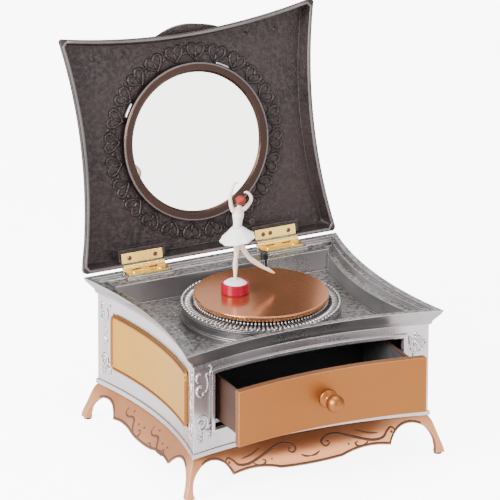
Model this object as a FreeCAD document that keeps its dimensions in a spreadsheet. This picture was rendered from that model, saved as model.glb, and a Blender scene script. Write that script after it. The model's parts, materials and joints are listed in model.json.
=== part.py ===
import FreeCAD, Part
import math
import os
import re
import Sketcher

# Ballerina jewellery box, in millimetres.  +Z is up and -Y is the front.  The row origin is on
# the floor, in the middle of the whole object with its lid up and its drawer part open.
os.makedirs("parts", exist_ok=True)
doc = FreeCAD.newDocument("BallerinaBox")

# Driving dimensions: name, size, what it is.  Angles are in degrees.
DIMS = [
    ("frame_shift", 5.39, "stand centre to row origin, along Y"),
    # stand
    ("pad_tall", 1.0, "foot pad height"),
    ("pad_radius", 2.2, "foot pad radius"),
    ("foot_half_w", 75.5, "stand half width at the feet"),
    ("foot_half_d", 64.0, "stand half depth at the feet"),
    ("knee_half_w", 70.8, "stand half width at the knee of a leg"),
    ("knee_half_d", 59.8, "stand half depth at the knee of a leg"),
    ("knee_z", 16.5, "height of the knee"),
    ("stand_half_w", 68.3, "stand half width at its top"),
    ("stand_half_d", 57.4, "stand half depth at its top"),
    ("stand_top", 21.0, "height of the stand"),
    ("stand_wall", 3.6, "thickness of the stand's skirt"),
    ("foot_wide", 5.0, "width of a foot"),
    ("skirt_dip_front", 4.3, "hollow of the stand front at its lower edge"),
    ("skirt_dip_side", 2.0, "hollow of the stand side at its lower edge"),
    ("arch_z", 17.3, "crown of the front arch beside each leg"),
    ("cusp_z", 8.6, "point between arch and swag, in front"),
    ("swag_z", 6.2, "lowest point of the front swag"),
    ("arch_x", 62.0, "crown of the front arch from the middle"),
    ("cusp_x", 46.0, "front point from the middle"),
    ("swell_x", 33.0, "front scallop from the middle"),
    ("swag_x", 18.0, "half width of the front swag"),
    ("side_arch_z", 16.0, "crown of the side arch beside each leg"),
    ("side_cusp_z", 9.6, "point between arch and swag, at the side"),
    ("side_swag_z", 8.6, "lowest point of the side swag"),
    ("arch_y", 47.0, "crown of the side arch from the middle"),
    ("cusp_y", 33.0, "side point from the middle"),
    ("swell_y", 24.0, "side scallop from the middle"),
    ("swag_y", 12.0, "half width of the side swag"),
    # case
    ("waist_half_w", 69.4, "half width of the waist moulding"),
    ("waist_half_d", 58.3, "half depth of the waist moulding"),
    ("case_low", 23.5, "underside of the case walls"),
    ("case_high", 72.5, "top of the case walls"),
    ("case_half_w", 68.5, "case half width at the corners"),
    ("case_half_d", 57.5, "case half depth at the corners"),
    ("dip_front", 9.5, "hollow of the front, at its middle"),
    ("dip_side", 7.5, "hollow of each side, at its middle"),
    ("wall", 2.5, "case wall"),
    ("post", 7.0, "side of a corner post"),
    ("plate", 2.0, "thickness of the bottom cover"),
    # side panels
    ("panel_half", 45.0, "half length of a side panel"),
    ("panel_low", 33.5, "bottom of a side panel"),
    ("panel_high", 64.5, "top of a side panel"),
    ("panel_thick", 2.5, "side panel thickness"),
    ("panel_sink", 1.0, "depth of the recess that a side panel sits in"),
    ("panel_corner", 3.0, "corner radius of a side panel"),
    # drawer
    ("open_half", 55.0, "half width of the drawer opening"),
    ("open_low", 34.0, "sill of the drawer opening"),
    ("open_high", 66.0, "head of the drawer opening"),
    ("front_half", 54.5, "half width of the drawer front"),
    ("front_low", 34.5, "bottom of the drawer front"),
    ("front_high", 65.0, "top of the drawer front"),
    ("front_thick", 4.0, "drawer front thickness"),
    ("front_dip", 6.0, "hollow of the drawer front"),
    ("front_y", -48.0, "middle of the closed drawer front"),
    ("drawer_half", 51.0, "half width of the drawer tray"),
    ("drawer_low", 37.6, "underside of the drawer tray"),
    ("drawer_high", 61.5, "rim of the drawer tray"),
    ("drawer_back", 8.0, "back of the closed drawer tray"),
    ("drawer_wall", 1.6, "drawer tray wall"),
    ("lining", 0.8, "thickness of the velvet lining"),
    ("drawer_pull", 28.0, "how far the drawer is out at rest"),
    ("knob_radius", 4.8, "ball of the drawer knob"),
    ("knob_reach", 8.0, "ball centre in front of the drawer front"),
    ("shelf_top", 37.4, "top of the shelf under the drawer"),
    # top tray
    ("tray_half_w", 75.0, "half width of the cornice"),
    ("tray_half_d", 62.0, "half depth of the cornice"),
    ("tray_dip_front", 10.5, "hollow of the cornice front"),
    ("tray_dip_side", 8.0, "hollow of the cornice sides"),
    ("tray_top", 80.5, "top of the cornice"),
    ("tray_floor", 66.8, "jewellery floor of the tray"),
    ("tray_under", 65.4, "underside of the tray floor"),
    ("ledge_top", 78.5, "ledge along the back of the tray"),
    # turntable
    ("spin_y", 2.0, "turntable axis"),
    ("stage_radius", 42.2, "platform radius"),
    ("stage_top", 75.8, "top of the platform"),
    ("disc_radius", 35.7, "turntable disc radius"),
    ("disc_low", 78.0, "underside of the disc"),
    ("disc_top", 81.0, "top of the disc"),
    ("shaft_radius", 1.5, "turntable shaft and winding arbor"),
    ("run_gap", 0.05, "radial running clearance"),
    # movement
    ("arbor_y", 24.0, "winding arbor axis, behind the turntable axis"),
    ("gear_module", 0.8, "module of the two turntable gears"),
    ("drive_teeth", 25, "teeth of the drive gear on the arbor"),
    ("table_teeth", 30, "teeth of the turntable gear"),
    ("bed_top", 25.0, "top of the bedplate"),
    ("barrel_radius", 12.0, "spring barrel radius"),
    ("barrel_top", 36.5, "top of the spring barrel"),
    ("crown_radius", 11.0, "circle of the crown wheel's pegs"),
    ("crown_pegs", 24, "pegs of the crown wheel"),
    ("peg_top", 42.0, "top of the pegs"),
    ("pinion_teeth", 8, "leaves of the cylinder pinion"),
    ("drum_z", 45.167, "axis of the pin cylinder"),
    ("drum_radius", 6.5, "pin cylinder radius"),
    ("drum_start", 15.6, "left end of the pin cylinder"),
    ("drum_end", 46.4, "right end of the pin cylinder"),
    ("fine_module", 0.4, "module of the governor gears"),
    ("drum_teeth", 36, "teeth of the cylinder gear"),
    ("fly_teeth", 12, "leaves of the fly pinion"),
    ("comb_notes", 18, "teeth of the comb"),
    # lid, measured from the hinge axis
    ("hinge_y", 62.0, "hinge axis, behind the stand centre"),
    ("hinge_z", 81.5, "height of the hinge axis"),
    ("hinge_x", 39.5, "middle of each hinge"),
    ("hinge_half", 12.0, "half length of a hinge"),
    ("knuckle", 1.75, "hinge knuckle radius"),
    ("leaf", 0.9, "hinge leaf thickness"),
    ("leaf_reach", 7.6, "hinge leaf from the axis to its edge"),
    ("pin_radius", 0.7, "hinge pin radius"),
    ("lid_open", 103.2, "lid angle at rest, from closed"),
    ("lid_half_w", 75.0, "lid half width"),
    ("lid_back", 0.4, "back edge of the lid in front of the hinge axis"),
    ("lid_deep", 126.2, "lid from back edge to front corners"),
    ("lid_dip_front", 7.5, "hollow of the lid front"),
    ("lid_dip_side", 7.0, "hollow of the lid sides"),
    ("lid_rim", -0.5, "rim plane below the hinge axis"),
    ("lid_wall", 1.9, "lid wall"),
    ("lid_panel", 7.2, "inner face of the lid panel"),
    ("lid_top", 10.2, "outer face of the lid panel"),
    ("lid_edge", 2.0, "end of the lid's upright edge"),
    ("lid_slope", 0.55, "slope of the lid's sides, width lost per height"),
    ("lid_corner", 3.0, "corner radius of the lid"),
    ("tab_low", 2.6, "lifting tab, rim side"),
    ("tab_high", 6.4, "lifting tab, outer side"),
    ("tab_half", 19.0, "half width of the lifting tab"),
    ("tab_out", 4.0, "how far the lifting tab stands out"),
    ("mirror_u", 60.0, "mirror centre in front of the hinge axis"),
    ("mirror_radius", 38.4, "mirror glass radius"),
    ("sight_radius", 37.0, "visible mirror radius"),
    ("ring_radius", 42.3, "mirror ring outer radius"),
    ("ring_face", 3.1, "mirror ring face"),
    ("mirror_face", 4.5, "mirror surface"),
    # dancer
    ("cup_x", -12.4, "dancer's cup on the disc"),
    ("cup_y", 7.6, "dancer's cup on the disc"),
    ("cup_radius", 7.4, "cup radius"),
    ("cup_tall", 5.8, "cup height"),
    # stop
    ("stop_x", 25.5, "stop plunger"),
    ("stop_y", 49.0, "stop plunger"),
    ("ledge_front", 47.0, "front of the tray's back ledge"),
    ("ledge_half", 63.0, "half length of the tray's back ledge"),
    ("stop_top", 82.5, "top of the stop plunger at rest"),
]
NAMES = {name for name, size, note in DIMS}

sheet = doc.addObject("Spreadsheet::Sheet", "Dims")
for row, (name, size, note) in enumerate(DIMS, 1):
    sheet.set("A%d" % row, name)
    sheet.set("B%d" % row, str(size))
    sheet.setAlias("B%d" % row, name)
    sheet.set("C%d" % row, note)
doc.recompute()

# places of the three screws that hold the movement
BED_SCREWS = [("-12", "14"), ("-12", "44"), ("47", "14")]
# degrees that bring the pinion's leaves between the crown wheel's pegs
PINION_TURN = 22.5

parts = []


# ---------------------------------------------------------------- helpers

def bind(text):
    """Give the dimension names in an expression their sheet."""
    return re.sub("[a-z_]+", lambda m: "Dims." + m[0] if m[0] in NAMES else m[0], str(text))


def value(text):
    """Work out an expression of dimension names as a number."""
    return float(sheet.evalExpression(bind(text)))


def keep(piece, frame):
    """Give a finished piece its place in the row and list it for export."""
    lifts = {"case": ("0", "0"), "lid": ("hinge_y", "hinge_z"), "hinge": ("hinge_y", "hinge_z"),
             "drawer": ("-drawer_pull", "0"), "dancer": ("cup_y", "disc_top")}
    y, z = lifts[frame]
    if frame == "lid":
        piece.Placement.Rotation = FreeCAD.Rotation(FreeCAD.Vector(-1, 0, 0), value("lid_open"))
        piece.setExpression(".Placement.Rotation.Angle", bind("lid_open * 1deg"))
    if frame == "dancer":
        piece.setExpression(".Placement.Base.x", bind("cup_x"))
    piece.setExpression(".Placement.Base.y", bind(y + " - frame_shift"))
    piece.setExpression(".Placement.Base.z", bind(z))
    parts.append(piece)
    return piece


def body(label, frame="case"):
    """A new PartDesign body, already placed in the row."""
    piece = doc.addObject("PartDesign::Body", label)
    piece.Label = label
    return keep(piece, frame)


def shape_piece(label, shape, frame="case"):
    """A piece whose shape comes from Part's own functions."""
    piece = doc.addObject("Part::Feature", label)
    piece.Label = label
    piece.Shape = Part.Compound([shape])
    return keep(piece, frame)


def circle(x, y, radius):
    return ("circle", x, y, radius)


def box(x0, x1, y0, y1):
    """A rectangle between two corners."""
    return [(x0, y0), (x1, y0), (x1, y1), (x0, y1)]


def bowed(half_w, front, back, dip_front, dip_side, inset="0"):
    """An outline with a hollow front, hollow sides and a straight back."""
    w = "(%s - %s)" % (half_w, inset)
    low = "(%s + %s)" % (front, inset)
    high = "(%s - %s)" % (back, inset)
    middle = "((%s) + (%s)) / 2" % (low, high)
    return [
        ("-" + w, low, "0", "%s + %s" % (low, dip_front)),
        (w, low, "%s - %s" % (w, dip_side), middle),
        (w, high),
        ("-" + w, high, "-%s + %s" % (w, dip_side), middle),
    ]


def case_outline(half_w, half_d, inset="0"):
    return bowed(half_w, "-" + half_d, half_d, "dip_front", "dip_side", inset)


def tray_outline(half_w, half_d, inset="0"):
    return bowed(half_w, "-" + half_d, half_d, "tray_dip_front", "tray_dip_side", inset)


def lid_outline(inset="0"):
    """The lid seen from above: hollow front and sides, a straight back and rounded corners."""
    w = "(lid_half_w - %s)" % inset
    low = "(%s - lid_back - lid_deep)" % inset
    high = "(-lid_back - %s)" % inset
    near_x = "(%s - lid_corner)" % w
    near_y = "(%s + lid_dip_front * (1 - %s^2 / %s^2))" % (low, near_x, w)
    half = "(lid_deep / 2 - %s)" % inset
    middle = "(-lid_back - lid_deep / 2)"
    side_x = "(%s - lid_dip_side * (1 - (%s - lid_corner)^2 / %s^2))" % (w, half, half)
    low_y, high_y = "%s + lid_corner" % low, "%s - lid_corner" % high
    round_x, round_low = "(%s - 0.3 * lid_corner)" % w, "%s + 0.3 * lid_corner" % low
    round_high = "%s - 0.3 * lid_corner" % high
    return [
        ("-" + near_x, near_y, "0", "%s + lid_dip_front" % low),
        (near_x, near_y, round_x, round_low),
        (side_x, low_y, "%s - lid_dip_side" % w, middle),
        (side_x, high_y, round_x, round_high),
        (near_x, high),
        ("-" + near_x, high, "-" + round_x, round_high),
        ("-" + side_x, high_y, "lid_dip_side - " + w, middle),
        ("-" + side_x, low_y, "-" + round_x, round_low),
    ]


def sketch(piece, plane, level, *loops):
    """A sketch on one of the piece's origin planes, moved along that plane's normal."""
    drawing = piece.newObject("Sketcher::SketchObject", piece.Label + "_sketch")
    support = [p for p in piece.Origin.OriginFeatures if p.Role == plane + "_Plane"][0]
    drawing.AttachmentSupport = [(support, "")]
    drawing.MapMode = "FlatFace"
    drawing.setExpression(".AttachmentOffset.Base.z", bind(level))
    for loop in loops:
        if loop[0] == "circle":
            draw_circle(drawing, *loop[1:])
        else:
            draw_outline(drawing, loop)
    return drawing


def fix(drawing, geometry, point, x, y):
    """Tie a point of a sketch to an expression on each axis."""
    for kind, text in (("DistanceX", x), ("DistanceY", y)):
        held = drawing.addConstraint(
            Sketcher.Constraint(kind, -1, 1, geometry, point, value(text)))
        if re.search("[a-z]", text):
            drawing.setExpression("Constraints[%d]" % held, bind(text))


def draw_circle(drawing, x, y, radius):
    centre = FreeCAD.Vector(value(x), value(y), 0)
    ring = Part.Circle(centre, FreeCAD.Vector(0, 0, 1), value(radius))
    made = drawing.addGeometry(ring, False)
    fix(drawing, made, 3, x, y)
    held = drawing.addConstraint(Sketcher.Constraint("Radius", made, value(radius)))
    drawing.setExpression("Constraints[%d]" % held, bind(radius))


def draw_outline(drawing, corners):
    """A closed loop.  A corner is (x, y), or (x, y, mid_x, mid_y) where an arc leaves it."""
    spots = [FreeCAD.Vector(value(c[0]), value(c[1]), 0) for c in corners]
    starts, ends = [], []
    for i, corner in enumerate(corners):
        start, end = spots[i], spots[(i + 1) % len(spots)]
        if len(corner) == 2:
            made = drawing.addGeometry(Part.LineSegment(start, end), False)
        else:
            middle = FreeCAD.Vector(value(corner[2]), value(corner[3]), 0)
            made = drawing.addGeometry(Part.Arc(start, middle, end), False)
            through = drawing.addGeometry(Part.Point(middle), True)
            fix(drawing, through, 1, corner[2], corner[3])
            drawing.addConstraint(Sketcher.Constraint("PointOnObject", through, 1, made))
        first = 1 if drawing.getPoint(made, 1).distanceToPoint(start) < 1e-6 else 2
        starts.append((made, first))
        ends.append((made, 3 - first))
    for i, corner in enumerate(corners):
        drawing.addConstraint(Sketcher.Constraint("Coincident", *ends[i - 1], *starts[i]))
        fix(drawing, *starts[i], corner[0], corner[1])


def pad(piece, drawing, length, backward=False):
    made = piece.newObject("PartDesign::Pad", piece.Label + "_pad")
    made.Profile = drawing
    made.setExpression("Length", bind(length))
    made.Reversed = backward
    return made


def cut(piece, drawing, depth=None, upward=False):
    """Pocket a sketch by a depth, or right through both ways without one."""
    doc.recompute()
    before = piece.Shape.Volume
    made = piece.newObject("PartDesign::Pocket", piece.Label + "_cut")
    made.Profile = drawing
    if depth is None:
        made.Type = "ThroughAll"
        made.SideType = "Symmetric"
    else:
        made.setExpression("Length", bind(depth))
        made.Reversed = upward
    doc.recompute()
    if piece.Shape.Volume > before - 1e-3:
        raise RuntimeError(piece.Label + ": a pocket removed nothing")
    return made


def loft(piece, first, *others, ruled=False):
    made = piece.newObject("PartDesign::AdditiveLoft", piece.Label + "_loft")
    made.Profile = first
    made.Sections = list(others)
    made.Ruled = ruled
    return made


def hollow(piece, first, *others, ruled=False):
    made = piece.newObject("PartDesign::SubtractiveLoft", piece.Label + "_hollow")
    made.Profile = first
    made.Sections = list(others)
    made.Ruled = ruled
    return made


def turn(piece, drawing, axis="V_Axis"):
    made = piece.newObject("PartDesign::Revolution", piece.Label + "_turn")
    made.Profile = drawing
    made.ReferenceAxis = (drawing, [axis])
    made.Angle = 360
    return made


def round_edges(piece, test, size, kind="Fillet"):
    """Fillet or chamfer the edges of the piece's last feature that pass a test."""
    doc.recompute()
    base = piece.Tip
    names = ["Edge%d" % i for i, edge in enumerate(base.Shape.Edges, 1) if test(edge)]
    made = piece.newObject("PartDesign::" + kind, piece.Label + "_" + kind.lower())
    made.Base = (base, names)
    made.setExpression("Radius" if kind == "Fillet" else "Size", bind(size))
    return made


def upright(edge):
    """True for a straight edge along Z."""
    box_of = edge.BoundBox
    return box_of.ZLength > 0.5 and box_of.XLength < 1e-4 and box_of.YLength < 1e-4


def both(x, y, radius):
    """A circle and its mirror image in X."""
    return circle(x, y, radius), circle("-(%s)" % x, y, radius)


def four(x, y, radius):
    """A circle in each quarter."""
    return both(x, y, radius) + both(x, "-(%s)" % y, radius)


def fasteners(label, spots, head, head_tall, shank, seat, length, frame="case", heads_up=True):
    """Pan head screws along Z: heads above the seat, or below it, with shanks the other way."""
    piece = body(label, frame)
    heads = [circle(x, y, head) for x, y in spots]
    shanks = [circle(x, y, shank) for x, y in spots]
    pad(piece, sketch(piece, "XY", seat, *heads), head_tall, backward=not heads_up)
    pad(piece, sketch(piece, "XY", seat, *shanks), length, backward=heads_up)
    return piece


def gear_shape(module, teeth, width, bore, play):
    """A spur gear about Z from z = 0, with involute flanks and its first tooth along +X."""
    pitch = module * teeth / 2
    base = pitch * math.cos(math.radians(20))
    tip = pitch + 0.9 * module
    root = pitch - 1.15 * module
    low = max(base, root)

    def involute(radius):
        angle = math.acos(min(1.0, base / radius))
        return math.tan(angle) - angle

    half = math.pi / (2 * teeth) - play / (2 * pitch) + involute(pitch)
    flank = [(root, half - involute(low))]
    flank += [(low + (tip - low) * k / 4, half - involute(low + (tip - low) * k / 4))
              for k in range(1, 5)]
    ring = []
    for tooth in range(int(teeth)):
        middle = 2 * math.pi * tooth / teeth
        ring += [(r, middle - a) for r, a in flank]
        ring += [(r, middle + a) for r, a in reversed(flank)]
    points = [FreeCAD.Vector(r * math.cos(a), r * math.sin(a), 0) for r, a in ring]
    solid = Part.Face(Part.makePolygon(points + points[:1])).extrude(FreeCAD.Vector(0, 0, width))
    return solid.cut(Part.makeCylinder(bore, width))


def rod(start, end, first, last):
    """A tapered round rod between two points with ball ends."""
    start, end = FreeCAD.Vector(*start), FreeCAD.Vector(*end)
    along = end - start
    if abs(first - last) < 1e-6:
        middle = Part.makeCylinder(first, along.Length, start, along)
    else:
        middle = Part.makeCone(first, last, along.Length, start, along)
    return [middle, Part.makeSphere(first, start), Part.makeSphere(last, end)]


def along_x(shape, x, y, z, angle=0):
    """Lay a shape made about Z along X, turned about its own axis first."""
    shape.rotate(FreeCAD.Vector(0, 0, 0), FreeCAD.Vector(0, 0, 1), angle)
    shape.rotate(FreeCAD.Vector(0, 0, 0), FreeCAD.Vector(0, 1, 0), 90)
    shape.translate(FreeCAD.Vector(x, y, z))
    return shape


# ---------------------------------------------------------------- stand and feet

def make_stand():
    """A flared skirt on four cabriole legs, cut below by arches and a swag."""
    piece = body("base_stand")
    low_dips = ("skirt_dip_front", "skirt_dip_side")
    knee_dips = ("((skirt_dip_front + dip_front) / 2)", "((skirt_dip_side + dip_side) / 2)")
    levels = [
        ("pad_tall", "foot_half_w", "foot_half_d", low_dips),
        ("pad_tall + 4", "(foot_half_w - 0.9)", "(foot_half_d - 0.9)", low_dips),
        ("pad_tall + 9", "(foot_half_w - 2.6)", "(foot_half_d - 2.4)", low_dips),
        ("knee_z", "knee_half_w", "knee_half_d", knee_dips),
        ("stand_top", "stand_half_w", "stand_half_d", ("dip_front", "dip_side")),
    ]
    outer = [sketch(piece, "XY", z, bowed(w, "-" + d, d, *dips)) for z, w, d, dips in levels]
    loft(piece, *outer)
    inner = [sketch(piece, "XY", z, bowed(w, "-" + d, d, *dips, "stand_wall"))
             for z, w, d, dips in levels]
    hollow(piece, *inner)
    front = ("XZ", "foot_half_w", "arch_x", "arch_z", "cusp_x", "cusp_z", "swell_x", "swag_x", "swag_z")
    side = ("YZ", "foot_half_d", "arch_y", "side_arch_z", "cusp_y", "side_cusp_z",
            "swell_y", "swag_y", "side_swag_z")
    for plane, reach, crown, crown_z, cusp, point_z, swell, swag, low_z in (front, side):
        foot = "(%s - foot_wide)" % reach
        profile = [
            ("-" + foot, "-1"),
            (foot, "-1"),
            (foot, "pad_tall + 0.5", crown, crown_z),
            (cusp, point_z, swell, point_z + " + 1.2"),
            (swag, low_z + " + 0.8", "0", low_z),
            ("-" + swag, low_z + " + 0.8", "-" + swell, point_z + " + 1.2"),
            ("-" + cusp, point_z, "-" + crown, crown_z),
            ("-" + foot, "pad_tall + 0.5"),
        ]
        cut(piece, sketch(piece, plane, "0", profile))


def make_foot_pads():
    piece = body("foot_pads")
    spots = four("foot_half_w - foot_wide / 2 - 0.2", "foot_half_d - foot_wide / 2 - 0.2", "pad_radius")
    pad(piece, sketch(piece, "XY", "0", *spots), "pad_tall")


# ---------------------------------------------------------------- case

def make_waist():
    """The thin moulding between stand and case, open in the middle for the bottom cover."""
    piece = body("waist_moulding")
    outline = case_outline("waist_half_w", "waist_half_d")
    pad(piece, sketch(piece, "XY", "stand_top", outline), "case_low - stand_top")
    opening = case_outline("case_half_w", "case_half_d", "(wall + 1)")
    cut(piece, sketch(piece, "XY", "stand_top", opening))


def side_strip(outward, inward, half, side=""):
    """A strip along a hollow side, from a little inside its face to a little outside it."""
    middle = "(case_half_w - dip_side)"
    end = "(case_half_w - dip_side * (1 - (%s)^2 / case_half_d^2))" % half
    return [
        ("%s(%s + %s)" % (side, end, outward), "-(%s)" % half,
         "%s(%s + %s)" % (side, middle, outward), "0"),
        ("%s(%s + %s)" % (side, end, outward), half),
        ("%s(%s - %s)" % (side, end, inward), half,
         "%s(%s - %s)" % (side, middle, inward), "0"),
        ("%s(%s - %s)" % (side, end, inward), "-(%s)" % half),
    ]


def front_strip(outward, inward, half, middle="front_y", dip="front_dip"):
    """A strip along the hollow front, from outside the face to inside it."""
    end = "(%s - %s * (%s)^2 / front_half^2)" % (middle, dip, half)
    return [
        ("-(%s)" % half, "%s - %s" % (end, outward), "0", "%s - %s" % (middle, outward)),
        (half, "%s - %s" % (end, outward)),
        (half, "%s + %s" % (end, inward), "0", "%s + %s" % (middle, inward)),
        ("-(%s)" % half, "%s + %s" % (end, inward)),
    ]


def make_case_body():
    """Four hollow-faced walls with corner posts, a drawer opening and two panel recesses."""
    piece = body("case_body")
    height = "case_high - case_low"
    pad(piece, sketch(piece, "XY", "case_low", case_outline("case_half_w", "case_half_d")), height)
    inside = case_outline("case_half_w", "case_half_d", "wall")
    cut(piece, sketch(piece, "XY", "case_low", inside), height, upward=True)
    near_x, far_x = "(case_half_w - wall - post)", "(case_half_w - wall - 0.5)"
    near_y, far_y = "(case_half_d - wall - post)", "(case_half_d - wall - 0.5)"
    posts = [
        box(near_x, far_x, near_y, far_y),
        box("-" + far_x, "-" + near_x, near_y, far_y),
        box(near_x, far_x, "-" + far_y, "-" + near_y),
        box("-" + far_x, "-" + near_x, "-" + far_y, "-" + near_y),
    ]
    pad(piece, sketch(piece, "XY", "case_low", *posts), "8")
    opening = box("-open_half", "open_half", "-case_half_d - 1", "front_y + wall + 2")
    cut(piece, sketch(piece, "XY", "open_low", opening), "open_high - open_low", upward=True)
    for side in ("", "-"):
        recess = side_strip("1", "panel_sink", "(panel_half + 0.2)", side)
        cut(piece, sketch(piece, "XY", "panel_low - 0.2", recess), "panel_high - panel_low + 0.4",
            upward=True)
    holes = four("case_half_w - wall - post / 2 - 1.2", "case_half_d - wall - post / 2 - 1.2", "1.3")
    cut(piece, sketch(piece, "XY", "case_low", *holes), "6", upward=True)


def make_side_panel(label, side):
    """A gilt panel that follows the hollow side, with rounded corners and a bevelled rim."""
    piece = body(label)
    strip = side_strip("panel_thick - panel_sink", "panel_sink", "panel_half", side)
    pad(piece, sketch(piece, "XY", "panel_low", strip), "panel_high - panel_low")

    def corner(edge):
        size = edge.BoundBox
        return size.XLength > 1 and size.YLength < 1e-3 and size.ZLength < 1e-3

    round_edges(piece, corner, "panel_corner")


def make_drawer_frame():
    """A raised moulding round the drawer opening."""
    piece = body("drawer_frame")
    strip = front_strip("1.2", "-0.02", "(open_half + 2)")
    pad(piece, sketch(piece, "XY", "open_low - 1.6", strip), "open_high - open_low + 3.4")
    opening = box("-open_half", "open_half", "-case_half_d - 4", "front_y + 3")
    cut(piece, sketch(piece, "XY", "open_low", opening), "open_high - open_low", upward=True)


def make_shelf():
    """The shelf the drawer slides on: a plate on two skirts, with a rail at each side."""
    piece = body("drawer_shelf")
    plate_loop = front_strip("-4.3", "0", "57")
    edge_y = plate_loop[1][1]
    plate_loop = plate_loop[:1] + [("57", edge_y), ("57", "9"), ("-57", "9")]
    pad(piece, sketch(piece, "XY", "shelf_top - 2.6", plate_loop), "2.6")
    skirts = [box("55.5", "57", "-40", "9"), box("-57", "-55.5", "-40", "9")]
    pad(piece, sketch(piece, "XY", "case_low - 0.4", *skirts), "shelf_top - 2 - case_low + 0.4")
    rails = [box("drawer_half + 0.4", "drawer_half + 2.4", "-40", "8"),
             box("-drawer_half - 2.4", "-drawer_half - 0.4", "-40", "8")]
    pad(piece, sketch(piece, "XY", "shelf_top - 1", *rails), "8")


def make_partition():
    piece = body("rear_partition")
    pad(piece, sketch(piece, "XY", "case_low - 0.4", box("-57", "57", "9.2", "10.6")),
        "tray_under - 0.4 - case_low + 0.2")


def make_bottom_cover():
    """The cover under the case, with holes for its screws, the winding arbor and the movement."""
    piece = body("bottom_cover")
    outline = case_outline("case_half_w", "case_half_d", "(wall + 1.3)")
    pad(piece, sketch(piece, "XY", "stand_top", outline), "plate")
    screws = four("case_half_w - wall - post / 2 - 1.2", "case_half_d - wall - post / 2 - 1.2", "1.4")
    arbor = circle("0", "arbor_y", "shaft_radius + 1")
    bolts = [circle(x, y, "1.1") for x, y in BED_SCREWS]
    cut(piece, sketch(piece, "XY", "stand_top", *screws, arbor, *bolts))


def make_case():
    make_waist()
    make_case_body()
    make_side_panel("side_panel_right", "")
    make_side_panel("side_panel_left", "-")
    make_drawer_frame()
    make_shelf()
    make_partition()
    make_bottom_cover()
    corner_x = "(case_half_w - wall - post / 2 - 1.2)"
    corner_y = "(case_half_d - wall - post / 2 - 1.2)"
    corners = [(sx + corner_x, sy + corner_y) for sx in ("", "-") for sy in ("", "-")]
    fasteners("bottom_screws", corners, "2.4", "1.2", "1.25", "stand_top", "7.5", heads_up=False)


# ---------------------------------------------------------------- top tray and turntable

def make_tray():
    """The cornice with its jewellery well, back ledge and two hinge blocks."""
    piece = body("top_tray")
    levels = [("case_high", "5.4", "3.7"), ("case_high + 2", "4.9", "3.2"),
              ("tray_top - 2.2", "1.2", "1"), ("tray_top", "0", "0")]
    sections = []
    for z, in_w, in_d in levels:
        outline = tray_outline("(tray_half_w - %s)" % in_w, "(tray_half_d - %s)" % in_d)
        sections.append(sketch(piece, "XY", z, outline))
    loft(piece, *sections, ruled=True)
    well = case_outline("case_half_w", "case_half_d", "(wall + 0.3)")
    pad(piece, sketch(piece, "XY", "tray_under", well), "case_high - tray_under + 0.5")
    steps = [("tray_top - 1.6", "3.5", "2"), ("tray_top - 4.4", "6", "3"),
             ("tray_floor", "11.2", "3")]
    for z, inset, depth in steps:
        step = tray_outline("tray_half_w", "tray_half_d", inset)
        cut(piece, sketch(piece, "XY", z, step), "tray_top + 1 - (%s)" % z, upward=True)
    ledge_back = "(case_half_d - wall - 0.3)"
    ledge = [("-ledge_half", "ledge_front"), ("ledge_half", "ledge_front"),
             ("ledge_half", ledge_back), ("-ledge_half", ledge_back)]
    pad(piece, sketch(piece, "XY", "tray_floor - 0.5", ledge), "case_high - tray_floor + 0.5")
    ledge = [("-ledge_half", "ledge_front"), ("ledge_half", "ledge_front"),
             ("ledge_half + 0.5", "56.5"), ("-ledge_half - 0.5", "56.5")]
    pad(piece, sketch(piece, "XY", "case_high", ledge), "ledge_top - case_high")
    blocks = []
    for side in ("", "-"):
        near, far = "%s(hinge_x - hinge_half - 1.5)" % side, "%s(hinge_x + hinge_half + 1.5)" % side
        ends = (near, far) if side == "" else (far, near)
        blocks.append(box(*ends, "52.5", "61"))
    pad(piece, sketch(piece, "XY", "ledge_top - 1", *blocks), "hinge_z - knuckle - 0.05 - ledge_top + 1")
    notches = []
    for side in ("", "-"):
        near, far = "%s(hinge_x - hinge_half - 0.6)" % side, "%s(hinge_x + hinge_half + 0.6)" % side
        ends = (near, far) if side == "" else (far, near)
        notches.append(box(*ends, "54", "63"))
    cut(piece, sketch(piece, "XY", "hinge_z - knuckle - 0.05", *notches), "3", upward=True)
    holes = [circle("0", "spin_y", "shaft_radius + run_gap"),
             circle("0", "arbor_y", "shaft_radius + run_gap"),
             circle("stop_x", "stop_y", "2.1")]
    cut(piece, sketch(piece, "XY", "tray_floor", *holes))
    screws = hinge_screw_spots("case")
    spots = [circle(x, y, "0.8") for x, y in screws]
    cut(piece, sketch(piece, "XY", "hinge_z", *spots), "7")


def hinge_screw_spots(side):
    """Screw places in a hinge leaf, as XY in the case frame or from the hinge axis."""
    reach = "hinge_y - 4.9" if side == "case" else "-4.9"
    return [("%s(hinge_x + %s)" % (hand, step), reach) for hand in ("", "-") for step in ("7.6", "-7.6")]


def make_platform():
    """The fixed drum under the turntable, hollow for the two gears."""
    piece = body("turntable_platform")
    profile = [
        ("stage_radius - 2", "tray_floor"), ("stage_radius", "tray_floor"),
        ("stage_radius", "tray_floor + 2"), ("stage_radius - 1", "tray_floor + 2.6"),
        ("stage_radius - 1", "stage_top - 3.4"), ("stage_radius", "stage_top - 2.8"),
        ("stage_radius", "stage_top - 0.6"), ("stage_radius - 0.6", "stage_top"),
        ("3.2", "stage_top"), ("3.2", "stage_top - 1.6"),
        ("stage_radius - 2", "stage_top - 1.6"),
    ]
    turn(piece, sketch(piece, "XZ", "0", profile))
    on_spindle(piece)


def on_spindle(piece):
    """Move a piece modelled round the Z axis onto the turntable axis."""
    piece.setExpression(".Placement.Base.y", bind("spin_y - frame_shift"))


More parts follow.
